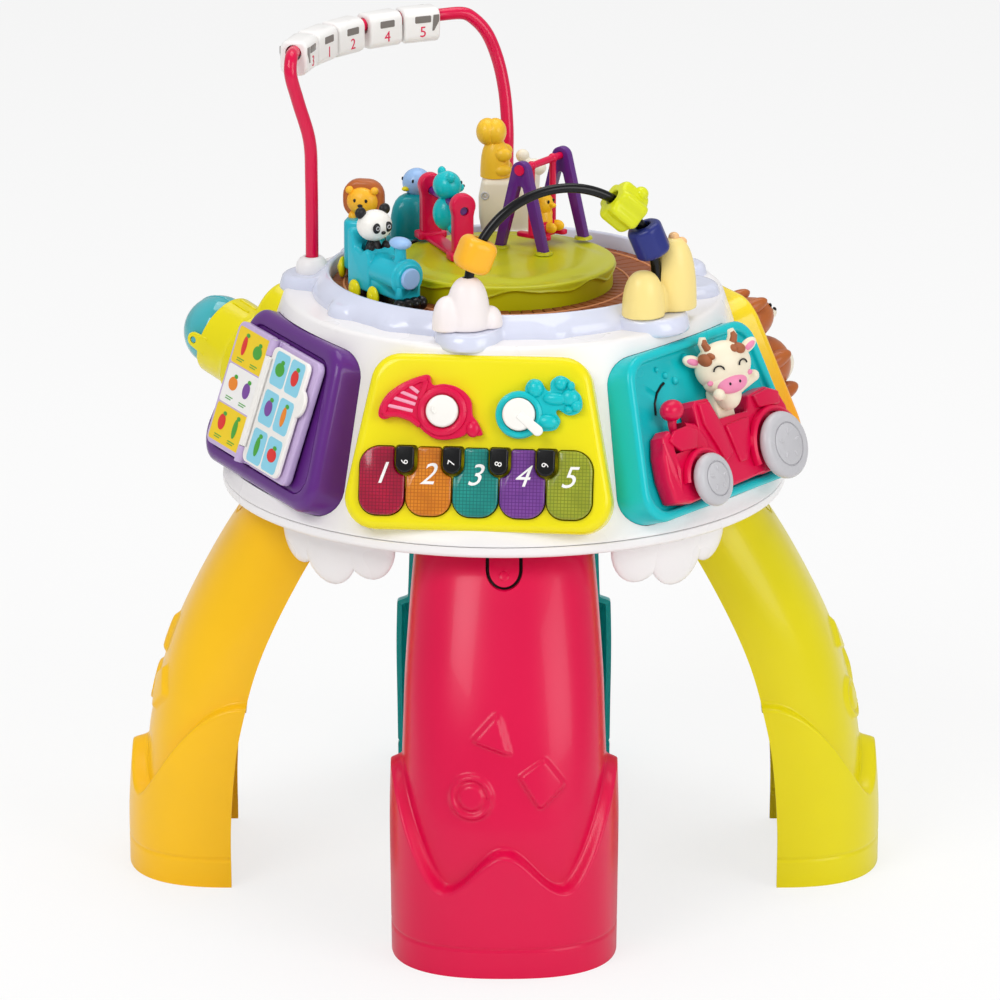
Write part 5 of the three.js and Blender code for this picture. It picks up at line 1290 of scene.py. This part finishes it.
# Bead wire: a black plastic-coated steel rod in a half circle, 6 mm thick, plugged into a cloud
# and a pair of hills that stand on the deck.
wire_place = shift((0.035, -0.0985, 0)) @ turned(18.6)
loop, springing, deck_top = 0.06, 0.395, 0.3733
shape = bmesh.new()
line = ([(-loop, 0, springing - 0.012 + 0.004 * i) for i in range(3)]
        + [(x, 0, springing + z) for x, z in arc((0, 0), loop, 180, 0, 60)]
        + [(loop, 0, springing - 0.004 * i) for i in range(1, 4)])
rod(shape, line, 0.003, wire_place, 20)
coated_steel = moulded_abs("black_coated_steel", "#08080a", 0.2, 0.05)
mould("bead_rod", shape, coated_steel, "base", "black", "bead_wire")
cloud_white = moulded_abs("cloud_white_abs", "#f8efee", 0.34)
hill_yellow = moulded_abs("hill_yellow_abs", "#fbe391", 0.34)
peach = moulded_abs("peach_abs", "#f6c48a", 0.36)


def stand(name, look, slot_name, node, domes, x):
    """A stand of merged domes, bored for the wire's foot."""
    shape = bmesh.new()
    for wide, deep, tall, across, back in domes:
        dome(shape, (wide, deep, tall), (x + across, back, deck_top), wire_place, 48, 2.6)
    item = mould(name, shape, look, "base", slot_name, node)
    joined = item.modifiers.new("merged", "REMESH")
    joined.mode = "VOXEL"
    joined.voxel_size = 0.0007
    joined.use_smooth_shade = True
    done = evaluated(item)
    item.modifiers.clear()
    made = bmesh.new()
    made.from_mesh(done)
    for _ in range(3):
        bmesh.ops.smooth_vert(made, verts=made.verts, factor=0.5, use_axis_x=True, use_axis_y=True,
                              use_axis_z=True)
    made.to_mesh(done)
    made.free()
    item.data = done
    bore = bmesh.new()
    rod(bore, [(x, 0, springing - 0.0125), (x, 0, springing + 0.03)], 0.0034, wire_place, 24)
    carve(item, bore, 50)


stand("cloud", cloud_white, "white_trim", "cloud_post",
      [(0.0138, 0.0115, 0.032, 0.000, 0), (0.0085, 0.0088, 0.0125, 0.0132, 0),
       (0.01, 0.009, 0.0205, -0.0122, 0.0005)], -loop)
stand("hills", hill_yellow, "pale_yellow", "hill_post",
      [(0.0132, 0.0122, 0.028, -0.0105, -0.007), (0.0145, 0.0125, 0.044, 0.013, 0.005),
       (0.0078, 0.0078, 0.0195, 0, 0)], loop)
shape = bmesh.new()
for across, up in ((0.009, 0.0405), (0.0135, 0.044), (0.0185, 0.0405)):
    ball(shape, (0.0034, 0.0034, 0.003), (loop + across, 0.006, deck_top + up), wire_place, 24)
mould("hill_bumps", shape, peach, "base", "pale_yellow")


# Wire beads: three hollow ABS mouldings that slide on the wire. The first is a soft four-lobed
# cube, the second a five-petalled flower with a knob, the third a plain barrel.
def lobed(shape, radius, half, petals, depth, place, turn=0.0, c=0.0045):
    """A bead round the Z axis with soft petals, bored through."""
    made = bmesh.new()
    profile = ([(0.0048, -half + 0.0006), (0.0054, -half)] + arc((radius - c, -half + c), c, -90, 0, 6)
               + arc((radius - c, half - c), c, 0, 90, 6)
               + [(0.0054, half), (0.0048, half - 0.0006), (0.0048, -half + 0.0006)])
    spun(made, profile, Matrix(), 80)
    for vertex in made.verts:
        across = math.hypot(vertex.co.x, vertex.co.y)
        share = max(0.0, (across - 0.006) / (radius - 0.006))
        angle = math.atan2(vertex.co.y, vertex.co.x) + turn
        grow = 1 - depth * share * (0.5 - 0.5 * math.cos(petals * angle)) if petals else 1
        vertex.co.x *= grow
        vertex.co.y *= grow
    pour(shape, made, place)


def on_wire(angle):
    """A bead's axes on the wire, with Z along it."""
    return (wire_place @ shift((0, 0, springing)) @ turned(-angle, "Y")
            @ shift((loop, 0, 0)))


bead_orange = moulded_abs("bead_orange_abs", "#fdb827", 0.3)
bead_lime = moulded_abs("bead_lime_abs", "#dbe01a", 0.3)
bead_navy = moulded_abs("bead_navy_abs", "#27307c", 0.32)
shape = bmesh.new()
lobed(shape, 0.0124, 0.0103, 4, 0.11, on_wire(157), math.radians(45), 0.0058)
mould("orange_bead_moulding", shape, bead_orange, "orange_bead", "orange", "orange_bead")
shape = bmesh.new()
lobed(shape, 0.0138, 0.0103, 6, 0.24, on_wire(49), 0.0, 0.004)
ball(shape, (0.0045, 0.0045, 0.0045), (0.0125, 0, -0.0035), on_wire(49), 32)
mould("lime_bead_moulding", shape, bead_lime, "lime_bead", "lime", "lime_bead")
shape = bmesh.new()
lobed(shape, 0.011, 0.0103, 8, 0.03, on_wire(23), 0.0, 0.0036)
mould("navy_bead_moulding", shape, bead_navy, "navy_bead", "navy", "navy_bead")


# Tumbler: two crimson posts with rounded heads, screwed to the island, and a teal cub that spins
# between them on a purple axle.
island_top = 0.3878
tumbler_place = shift((-0.0355, 0.0165, island_top)) @ turned(20.9)
stood = turned(90, "X")
shape = bmesh.new()
for side in (-1, 1):
    post = tumbler_place @ shift((0, side * 0.028 + 0.003, 0)) @ stood
    slab(shape, [(-0.0064, 0.001), (0.0064, 0.001), (0.0064, 0.027)]
         + arc((0, 0.0335), 0.0078, -25, 205, 18) + [(-0.0064, 0.027)], -0.0006, 0.0066, post, 0.0014, 3)
    round_box(shape, -0.0092, 0.0092, side * 0.028 - 0.0056, side * 0.028 + 0.0056, 0, 0.0044,
              tumbler_place, 0.002, 0.0009)
round_box(shape, -0.0055, 0.0055, -0.03, 0.03, 0, 0.0024, tumbler_place, 0.002, 0.0006)
posts = mould("tumbler_posts", shape, crimson_abs, "base", "crimson", "tumbler_bracket")
bore = bmesh.new()
rod(bore, [(0, -0.04, 0.0307), (0, 0.04, 0.0307)], 0.0029, tumbler_place, 24)
carve(posts, bore)
cub = tumbler_place @ shift((0, 0, 0.0307))
shape = bmesh.new()
rod(shape, [(0, -0.0298, 0), (0, 0.0298, 0)], 0.0025, cub, 20)
mould("tumbler_axle", shape, purple_abs, "tumbling_bear", "purple", "tumbling_bear")
shape = bmesh.new()
eggs(cub, [(0.0088, 0.0098, 0.0088, 0.0005, 0, 0.0092, 36), (0.0085, 0.0088, 0.011, 0, 0, -0.0085, 36),
           (0.0034, 0.0042, 0.003, 0.008, 0, 0.0072, 24), (0.0026, 0.0036, 0.0036, 0, 0.0078, 0.0158, 20),
           (0.004, 0.004, 0.0044, 0.0032, 0.0105, 0.001, 20),
           (0.005, 0.004, 0.0042, 0.0035, 0.0062, -0.0168, 20)], shape)
for side in (-1, 1):
    rod(shape, [(0.002, side * 0.0075, -0.003), (0.0035, side * 0.01, 0.0005)], [0.0034, 0.0036], cub, 16)
mould("tumbler_cub", shape, teal_abs, "tumbling_bear", "teal")
mould("cub_eyes", eggs(cub, [(0.0006, 0.0009, 0.0011, 0.0086, 0.0035, 0.011, 12),
                             (0.0008, 0.0014, 0.001, 0.0113, 0, 0.0078, 12)]), black_paint, "tumbling_bear",
                             "black")


# Swing: two purple A-frames stand in lime sockets on the island. The crimson bar turns in their
# heads, and its arms and seat are one moulding with it. A chick in red overalls sits on it.
swing_place = shift((0.0235, 0.031, island_top)) @ turned(-33.3)
a_frame = ([(-0.019, 0), (-0.013, 0), (-0.0022, 0.0385)] + arc((0, 0.0385), 0.0022, 180, 0, 8)
           + [(0.013, 0), (0.019, 0)]
           + arc((0, 0.05), 0.0062, 15, 165, 14))
sockets = bmesh.new()
for name, side in (("near", -1), ("far", 1)):
    shape = bmesh.new()
    slab(shape, a_frame, 0, 0.005, swing_place @ shift((0, side * 0.02275 + 0.0025, 0)) @ stood, 0.0011, 3)
    item = mould("swing_side_" + name, shape, purple_abs, "base", "purple", "swing_frame_" + name)
    bore = bmesh.new()
    rod(bore, [(0, -0.04, 0.051), (0, 0.04, 0.051)], 0.0025, swing_place, 24)
    carve(item, bore)
    for foot in (-0.0158, 0.0158):
        socket_line = [(0, 0), (0.0058, 0), (0.0054, 0.0012), (0.0046, 0.0015), (0, 0.0015)]
        spun(sockets, socket_line, swing_place @ shift((foot, side * 0.02275, -0.0004)), 28)
mould("swing_sockets", sockets, lime_abs, "base", "lime")
seat_place = swing_place @ shift((0, 0, 0.051))
shape = bmesh.new()
rod(shape, [(0, -0.0262, 0), (0, 0.0262, 0)], 0.0022, seat_place, 20)
eggs(seat_place, [(0.003, 0.003, 0.003, 0, 0.012, 0, 20)], shape)
for side in (-1, 1):
    rod(shape, [(0, side * 0.0254, 0), (0, side * 0.0264, 0)], 0.0034, seat_place, 20)
    rod(shape, [(0, side * 0.012, 0), (0, side * 0.012, -0.044)], 0.0021, seat_place, 16)
    round_box(shape, -0.012, 0.012, side * 0.0092 - 0.003, side * 0.0092 + 0.003, -0.0464, -0.0436,
              seat_place, 0.0028, 0.0008)
round_box(shape, -0.005, 0.006, -0.0085, 0.0085, -0.0464, -0.0436, seat_place, 0.002, 0.0008)
mould("swing_moulding", shape, crimson_abs, "swing", "crimson", "swing_seat")
shape = bmesh.new()
eggs(seat_place, [(0.0072, 0.0072, 0.007, 0, 0, -0.0262, 32)], shape)
dome(shape, (0.0068, 0.0066, 0.014), (0, 0, -0.04), seat_place)
eggs(seat_place, [(0.0012, 0.0012, 0.003, -0.001, 0, -0.019, 16),
                  (0.0046, 0.0026, 0.0034, 0.0088, 0.0042, -0.0398, 20),
                  (0.0022, 0.0018, 0.0042, 0.0005, 0.0074, -0.0345, 16)], shape)
chick_yellow = moulded_abs("chick_yellow_vinyl", "#fcc423", 0.34, 0.15)
mould("chick", shape, chick_yellow, "swing", "orange", "swing_chick")
shape = bmesh.new()
dome(shape, (0.0078, 0.0075, 0.0095), (0, 0, -0.0432), seat_place)
eggs(seat_place, [(0.005, 0.003, 0.0032, 0.005, 0.004, -0.0398, 20)], shape)
mould("chick_overalls", shape, crimson_abs, "swing", "crimson")
mould("chick_beak", eggs(seat_place, [(0.0028, 0.0022, 0.0016, 0.0074, 0, -0.0265, 16)]), orange_abs,
      "swing", "orange")
mould("chick_eyes", eggs(seat_place, [(0.0007, 0.0009, 0.0012, 0.0066, 0.0028, -0.024, 12)]), black_paint,
      "swing", "black")


# Locomotive: a teal ABS shell with a deep seat, on a black chassis with lime wheels. A pale blue
# disc and chimney cap and a black cow-catcher are pressed in.
rail_top = 0.3706
sky_abs = moulded_abs("pale_blue_gloss_abs", "#9cc2f0", 0.26, 0.15)
train_teal = moulded_abs("train_teal_abs", "#20bace", 0.26, 0.15)


def on_track(turn):
    """A carriage's axes on the track, with X the way it faces."""
    return turned(turn) @ shift((0, -0.088, rail_top))


def hollow(item, x, y, radius, low, high, place):
    """Bores a round seat into a carriage."""
    seat = bmesh.new()
    slab(seat, circle((x, y), radius, 36), low, high, place)
    carve(item, seat)


def wheels(name, place, spots, look, slot_name, size=0.0066, out=0.0118):
    """Domed wheels on stub axles, two at each spot."""
    shape = bmesh.new()
    for x in spots:
        for side in (-1, 1):
            ball(shape, (size * 0.86, 0.0024, size), (x, side * out, size), place, 32)
            ball(shape, (size * 0.36, 0.001, size * 0.42), (x, side * (out + 0.002), size), place, 20)
    mould(name, shape, look, "turntable", slot_name)


loco = on_track(-55)
side_view = turned(90, "X")
cab_line = ([(-0.0268, 0.007), (-0.003, 0.007), (-0.003, 0.0285)] + arc((-0.0075, 0.03), 0.0035, 0, 90, 6)
            + [(-0.012, 0.031), (-0.019, 0.033), (-0.0205, 0.039)]
            + arc((-0.0238, 0.0405), 0.0032, 0, 180, 8)
            + [(-0.027, 0.03)])
shape = bmesh.new()
slab(shape, cab_line, -0.0104, 0.0104, loco @ side_view, 0.0022, 4)
round_box(shape, -0.006, 0.0262, -0.0088, 0.0088, 0.008, 0.017, loco, 0.003, 0.0015)
along = shift((0, 0, 0.021)) @ turned(90, "Y")
boiler = ([(0, -0.006), (0.01, -0.006), (0.01, 0.02)] + arc((0.0098, 0.0226), 0.0018, -90, 90, 8)
          + [(0.0088, 0.025), (0.0082, 0.0262), (0, 0.0262)])
spun(shape, boiler, loco @ along, 56)
spun(shape, [(0, 0.028), (0.0052, 0.028), (0.0036, 0.032), (0.0034, 0.0385), (0.0046, 0.04), (0, 0.04)],
     loco @ shift((0.016, 0, 0)), 28)
cab = mould("loco_shell", shape, train_teal, "turntable", "teal", "locomotive")
hollow(cab, -0.013, 0, 0.0074, 0.02, 0.06, loco)
shape = bmesh.new()
eggs(loco, [(0.0082, 0.0062, 0.0036, 0.016, 0, 0.0412, 40)], shape)
spun(shape, [(0, 0.0258), (0.0066, 0.0258), (0.0066, 0.0272), (0.0058, 0.028), (0, 0.0284)], loco @ along,
     40)
mould("loco_cap_and_disc", shape, sky_abs, "turntable", "white_trim")
shape = bmesh.new()
round_box(shape, -0.0262, 0.027, -0.0072, 0.0072, 0.0022, 0.0082, loco, 0.002, 0.0008)
for y, size in ((-0.0078, 0.0042), (-0.0026, 0.0048), (0.0028, 0.0048), (0.0078, 0.0042)):
    ball(shape, (0.0046, size, 0.0044), (0.0265, y, 0.005), loco, 24)
mould("loco_chassis", shape, black_abs, "turntable", "black")
wheels("loco_wheels", loco, (-0.0165, 0.0035), yellow_abs, "lime")


# Panda: a white vinyl head on a black body, seated in the cab. Its eye patches are sprayed.
vinyl_white = moulded_abs("white_satin_vinyl", "#f5f2ec", 0.4, 0.1)
black_vinyl = moulded_abs("black_satin_vinyl", "#1c1b1e", 0.4, 0.1)
panda = loco @ shift((-0.013, 0, 0))
mould("panda_head", eggs(panda, [(0.0098, 0.0112, 0.0096, 0.001, 0, 0.0465, 48)]), vinyl_white, "turntable",
      "white_shell", "panda")
shape = bmesh.new()
dome(shape, (0.0066, 0.007, 0.019), (0, 0, 0.0205), panda)
eggs(panda, [(0.0026, 0.0038, 0.0036, -0.001, 0.0088, 0.055, 24),
             (0.0012, 0.0028, 0.0033, 0.0098, 0.0042, 0.0468, 24),
             (0.003, 0.0026, 0.004, 0.0048, 0.0058, 0.033, 20),
             (0.001, 0.0016, 0.0011, 0.011, 0, 0.0438, 16)], shape)
mould("panda_black", shape, black_vinyl, "turntable", "black")
shape = bmesh.new()
for side in (-1, 1):
    ring_place = panda @ shift((0.011, side * 0.0041, 0.047)) @ turned(90, "Y")
    hoop(shape, (0, 0), 0.0011, 0.00028, 0, 0, 360, ring_place)
mould("panda_eyes", shape, grey_abs, "turntable", "grey")


# Lion wagon: a tall teal tub with a lion in it. The lion's brown mane is a rounded square.
lion_place = on_track(-102)
shape = bmesh.new()
round_box(shape, -0.0165, 0.0165, -0.0104, 0.0104, 0.0062, 0.0375, lion_place, 0.006, 0.0022)
tub = mould("lion_tub", shape, train_teal, "turntable", "teal", "lion_wagon")
hollow(tub, 0, 0, 0.0074, 0.025, 0.06, lion_place)
shape = bmesh.new()
round_box(shape, -0.015, 0.015, -0.0078, 0.0078, 0.0024, 0.0066, lion_place, 0.002, 0.0008)
mould("lion_chassis", shape, black_abs, "turntable", "black")
wheels("lion_wheels", lion_place, (-0.0098, 0.0098), yellow_abs, "lime")
lion_yellow = moulded_abs("lion_yellow_vinyl", "#f9b92c", 0.38, 0.1)
shape = bmesh.new()
dome(shape, (0.0066, 0.007, 0.02), (0, 0, 0.0255), lion_place)
eggs(lion_place, [(0.0076, 0.01, 0.009, 0.0042, 0, 0.0478, 40),
                  (0.0024, 0.0026, 0.0025, 0.0062, 0.0078, 0.0548, 24),
                  (0.0034, 0.0028, 0.004, 0.005, 0.0062, 0.0375, 20)], shape)
mould("lion_face", shape, lion_yellow, "turntable", "orange", "lion")
shape = bmesh.new()
mane_place = lion_place @ shift((0.0045, 0, 0.0485)) @ turned(-90, "Y")
round_box(shape, -0.0122, 0.0122, -0.0128, 0.0128, -0.0012, 0.0085, mane_place, 0.01, 0.0028)
mould("lion_mane", shape, brown_abs, "turntable", "brown_floor")
mould("lion_eyes", eggs(lion_place, [(0.0007, 0.0009, 0.0012, 0.0112, 0.0036, 0.0494, 12),
                                     (0.0009, 0.0017, 0.0011, 0.012, 0, 0.0464, 12)]), black_paint,
                                     "turntable", "black")


# Bird wagon: a dark teal rounded tub whose front rises into a pale blue bird's head with an
# olive beak.
bird_place = on_track(-140)
bird_teal = moulded_abs("dark_teal_train_abs", "#129aa4", 0.28, 0.15)
shape = bmesh.new()
dome(shape, (0.0168, 0.0104, 0.033), (0, 0, 0.0062), bird_place, 44, 3.6)
round_box(shape, -0.0165, 0.0165, -0.01, 0.01, 0.006, 0.013, bird_place, 0.005, 0.002)
mould("bird_tub", shape, bird_teal, "turntable", "dark_teal", "bird_wagon")
mould("bird_head", eggs(bird_place, [(0.0092, 0.0088, 0.0088, -0.003, 0, 0.0458, 40)]), sky_abs,
      "turntable", "teal")
mould("bird_beak", eggs(bird_place, [(0.003, 0.0024, 0.0016, 0.0056, 0, 0.0428, 24)]), leg_green_abs,
      "turntable", "lime")
mould("bird_eyes", eggs(bird_place, [(0.0009, 0.0006, 0.0012, 0.0042, 0.005, 0.0482, 12)]), black_paint,
      "turntable", "black")
wheels("bird_wheels", bird_place, (-0.0085, 0.0085), black_abs, "black")


# Cream wagon: a cream boat-shaped tub with a long neck and head, a grey ring for a port and a white
# step. A chubby yellow squirrel sits on its top.
cream_place = on_track(178)
shape = bmesh.new()
hull_line = [(-0.015, 0.007), (0.016, 0.007), (0.0185, 0.02), (0.0188, 0.033), (0.0165, 0.0445),
             (-0.006, 0.0445), (-0.015, 0.03)]
slab(shape, hull_line, -0.0102, 0.0102, cream_place @ side_view, 0.0036, 5)
rod(shape, [(-0.011, 0, 0.02), (-0.013, 0, 0.038), (-0.0142, 0, 0.049)], [0.0074, 0.0062, 0.0056],
    cream_place, 24)
eggs(cream_place, [(0.0078, 0.0058, 0.0056, -0.0156, 0, 0.0505, 36)], shape)
rod(shape, [(-0.0125, 0, 0.051), (-0.0095, 0, 0.056)], [0.0042, 0.0034], cream_place, 20)
eggs(cream_place, [(0.0042, 0.004, 0.0042, -0.0086, 0, 0.058, 28)], shape)
mould("cream_tub", shape, cream_abs, "turntable", "cream", "cream_wagon")
shape = bmesh.new()
for side in (-1, 1):
    port = cream_place @ shift((0.0146, side * 0.0103, 0.0345)) @ side_view
    hoop(shape, (0, 0), 0.0021, 0.0006, 0, 0, 360, port)
    ball(shape, (0.001, 0.0005, 0.001), (0.0146, side * 0.0104, 0.0345), cream_place, 16)
mould("cream_ports", shape, grey_abs, "turntable", "grey")
shape = bmesh.new()
for side in (-1, 1):
    round_box(shape, -0.0165, 0.0165, side * 0.0112 - 0.0012, side * 0.0112 + 0.0012, 0.0105, 0.0128,
              cream_place, 0.001, 0.0005)
mould("cream_steps", shape, white_abs, "turntable", "white_trim")
wheels("cream_wheels", cream_place, (-0.0085, 0.0085), black_abs, "black", 0.006, 0.0108)
squirrel_yellow = moulded_abs("squirrel_yellow_vinyl", "#f6c52f", 0.36, 0.15)
squirrel = cream_place @ shift((0.0085, 0, 0.0448))
shape = bmesh.new()
dome(shape, (0.0094, 0.0086, 0.024), (0, 0, 0), squirrel, 36, 2.8)
for lean in (-0.0022, 0.0028):
    ball(shape, (0.007, 0.0084, 0.0086), (0.0022 + lean, 0, 0.0285), squirrel, 36)
ball(shape, (0.0036, 0.003, 0.0026), (0.0024, -0.0066, 0.027), squirrel, 20)
eggs(squirrel, [(0.0054, 0.0034, 0.0044, -0.0052, 0.0062, 0.015, 24),
                (0.0058, 0.0038, 0.004, -0.0046, 0.006, 0.005, 24)], shape)
mould("squirrel_body", shape, squirrel_yellow, "turntable", "orange", "squirrel")
shape = bmesh.new()
dome(shape, (0.005, 0.0052, 0.02), (0, -0.0042, 0.001), squirrel)
mould("squirrel_belly", shape, cream_abs, "turntable", "cream")
shape = bmesh.new()
for side in (-1, 1):
    ball(shape, (0.0008, 0.0007, 0.0011), (0.0024 + side * 0.0032, -0.0078, 0.031), squirrel, 12)
ball(shape, (0.0012, 0.0008, 0.0009), (0.0024, -0.0094, 0.028), squirrel, 12)
mould("squirrel_eyes", shape, black_paint, "turntable", "black")


# Arch: an 8 mm crimson coated tube on two posts, bent into a bar over the train. Its feet go
# through the white collars into the housing.
bar_radius, bar_height, foot_radius = 0.131, 0.51, 0.1195
arch_spots = [(-97.5, foot_radius, 0.361), (-97.5, foot_radius, bar_height - 0.08),
              (-97.3, 0.1205, bar_height - 0.054), (-95.5, 0.127, bar_height - 0.028),
              (-94.0, bar_radius, bar_height - 0.01), (-96.0, bar_radius, bar_height - 0.0015)]
arch_spots += [(-100 - 69 * i / 9, bar_radius, bar_height) for i in range(10)]
arch_spots += [(-171.4, bar_radius, bar_height - 0.003), (-175.0, bar_radius, bar_height - 0.012),
               (-178.0, bar_radius, bar_height - 0.028), (-180.0, 0.1285, bar_height - 0.048),
               (-181.0, 0.1225, bar_height - 0.072), (-181.0, foot_radius, bar_height - 0.092),
               (-181.0, foot_radius, 0.361)]


def bent(points, steps=10):
    """A smooth line through points in space, as a tube bender leaves it."""
    ends = [points[0]] + points + [points[-1]]
    line = []
    for p in zip(ends, ends[1:], ends[2:], ends[3:]):
        knots = [0.0]
        for a, b in zip(p, p[1:]):
            knots.append(knots[-1] + max((b - a).length, 1e-9) ** 0.5)
        for step in range(steps):
            t = knots[1] + (knots[2] - knots[1]) * step / steps
            first = [p[i] + (p[i + 1] - p[i]) * ((t - knots[i]) / (knots[i + 1] - knots[i]))
                     for i in range(3)]
            second = [first[i] + (first[i + 1] - first[i]) * ((t - knots[i]) / (knots[i + 2] - knots[i]))
                      for i in range(2)]
            line.append(second[0] + (second[1] - second[0]) * ((t - knots[1]) / (knots[2] - knots[1])))
    return line + [points[-1]]


points = [Vector((radius * math.sin(math.radians(turn)), -radius * math.cos(math.radians(turn)), height))
          for turn, radius, height in arch_spots]
shape = bmesh.new()
rod(shape, bent(points), 0.004, Matrix(), 24)
arch_steel = moulded_abs("crimson_coated_steel", "#dc0246", 0.2, 0.25)
mould("arch_rail", shape, arch_steel, "base", "arch_crimson", "arch_tube")


# Train beads: five white hollow carriages that slide on the bar. Grey windows sit high on their
# sides over a printed number, and the two end ones have a sloping nose.
window_grey = moulded_abs("window_grey_abs", "#7a746f", 0.22, 0.2)
number_red = moulded_abs("number_red_ink", "#de2454", 0.45, 0.0)
bead_white = moulded_abs("bead_white_abs", "#f5f3f1", 0.28)
carriage = {"half": 0.0123, "wide": 0.0089, "top": 0.0075, "low": -0.0143, "corner": 0.0052}


def carriage_line(inset):
    wide, corner = carriage["wide"] - inset, carriage["corner"] - inset / 2
    top, low = carriage["top"] - inset, carriage["low"] + inset
    return (arc((wide - corner, top - corner), corner, 0, 90, 8)
            + arc((-wide + corner, top - corner), corner, 90, 180, 8)
            + arc((-wide + corner, low + corner), corner, 180, 270, 8)
            + arc((wide - corner, low + corner), corner, 270, 360, 8))


nose_pane = [(0.0052, 0.0034), (0.006, -0.0066), (0.0049, -0.0066), (0.0014, -0.0006), (0.0014, 0.0034)]
for number, turn in enumerate((-106, -118, -130, -143.6, -155.6), 1):
    body = "train_bead_%d" % number
    nose = {1: 1, 5: -1}.get(number, 0)
    figure = "31245"[number - 1]
    spot = (turned(turn) @ shift((0, -bar_radius, bar_height - 0.0009))
            @ turned(90, "X") @ turned(90, "Y"))
    half, round_ = carriage["half"], 0.0022
    bends = [math.radians(18 * i) for i in range(6)]
    levels = ([(-half + round_ * (1 - math.sin(t)), carriage_line(round_ * (1 - math.cos(t))))
               for t in reversed(bends)]
              + [(half - round_ * (1 - math.sin(t)), carriage_line(round_ * (1 - math.cos(t))))
                 for t in bends])
    shape = bmesh.new()
    layered(shape, levels, spot)
    item = mould(body + "_moulding", shape, bead_white, body, "white_trim", body)
    bore = bmesh.new()
    rod(bore, [(0, 0, -0.02), (0, 0, 0.02)], 0.0057 if number == 5 else 0.0052, spot, 32)
    if nose:
        slope = shift((0, 0, nose * half)) @ Matrix.Rotation(-nose * math.radians(28), 4, "X")
        low, high = sorted((0, nose * 0.025))
        round_box(bore, -0.018, 0.018, -0.033, -0.0005, low, high, spot @ slope, 0.001, 0)
    carve(item, bore)
    glass, print_shape = bmesh.new(), bmesh.new()
    for side in (-1, 1):
        face = spot @ shift((side * (carriage["wide"] - 0.0001), 0, 0)) @ turned(side * 90, "Y")
        round_box(glass, -0.0054, 0.0054, -0.0012, 0.0032, -0.0006, 0.0004, face, 0.0008, 0.0002)
        if nose:
            pane = [(-side * nose * (half - back), up) for back, up in nose_pane]
            slab(glass, pane if side * nose < 0 else pane[::-1], -0.0006, 0.0004, face)
        printed(print_shape, figure, 0.0095, face @ shift((0, -0.0072, 0.0002)))
    mould(body + "_windows", glass, window_grey, body, "grey")
    mould(body + "_number", print_shape, number_red, body, "crimson")


# Battery door and sound board: the door is a white ABS lid with the shell's own finish. The board
# is green lacquered glass fibre with copper tracks, 2 mm apart, under the lacquer.
bpy.data.objects["battery_door"].material_slots[0].material = white_abs
board_look = bpy.data.materials.new("green_lacquered_board")
tree = bare_tree(board_look)
track_pitch = 0.002
tracks = add(tree, "TexBrick", {"Color1": linear("#1d6b3a"), "Color2": linear("#1a5f34"),
                                "Mortar": linear("#3f9a55"), "Scale": 1 / track_pitch, "Mortar Size": 0.16,
                                "Brick Width": 3.0, "Row Height": 1.0},
             {"Vector": add(tree, "TexCoord").outputs["Object"]})
raised = add(tree, "Bump", {"Strength": 0.3, "Distance": 0.00003}, {"Height": tracks.outputs["Fac"]})
lacquer = add(tree, "BsdfPrincipled", {"Roughness": 0.3, "IOR": 1.5, "Coat Weight": 0.4},
              {"Base Color": tracks.outputs["Color"], "Normal": raised.outputs[0]})
add(tree, "OutputMaterial", links={"Surface": lacquer.outputs[0]})
bpy.data.objects["circuit_board"].material_slots[0].material = board_look
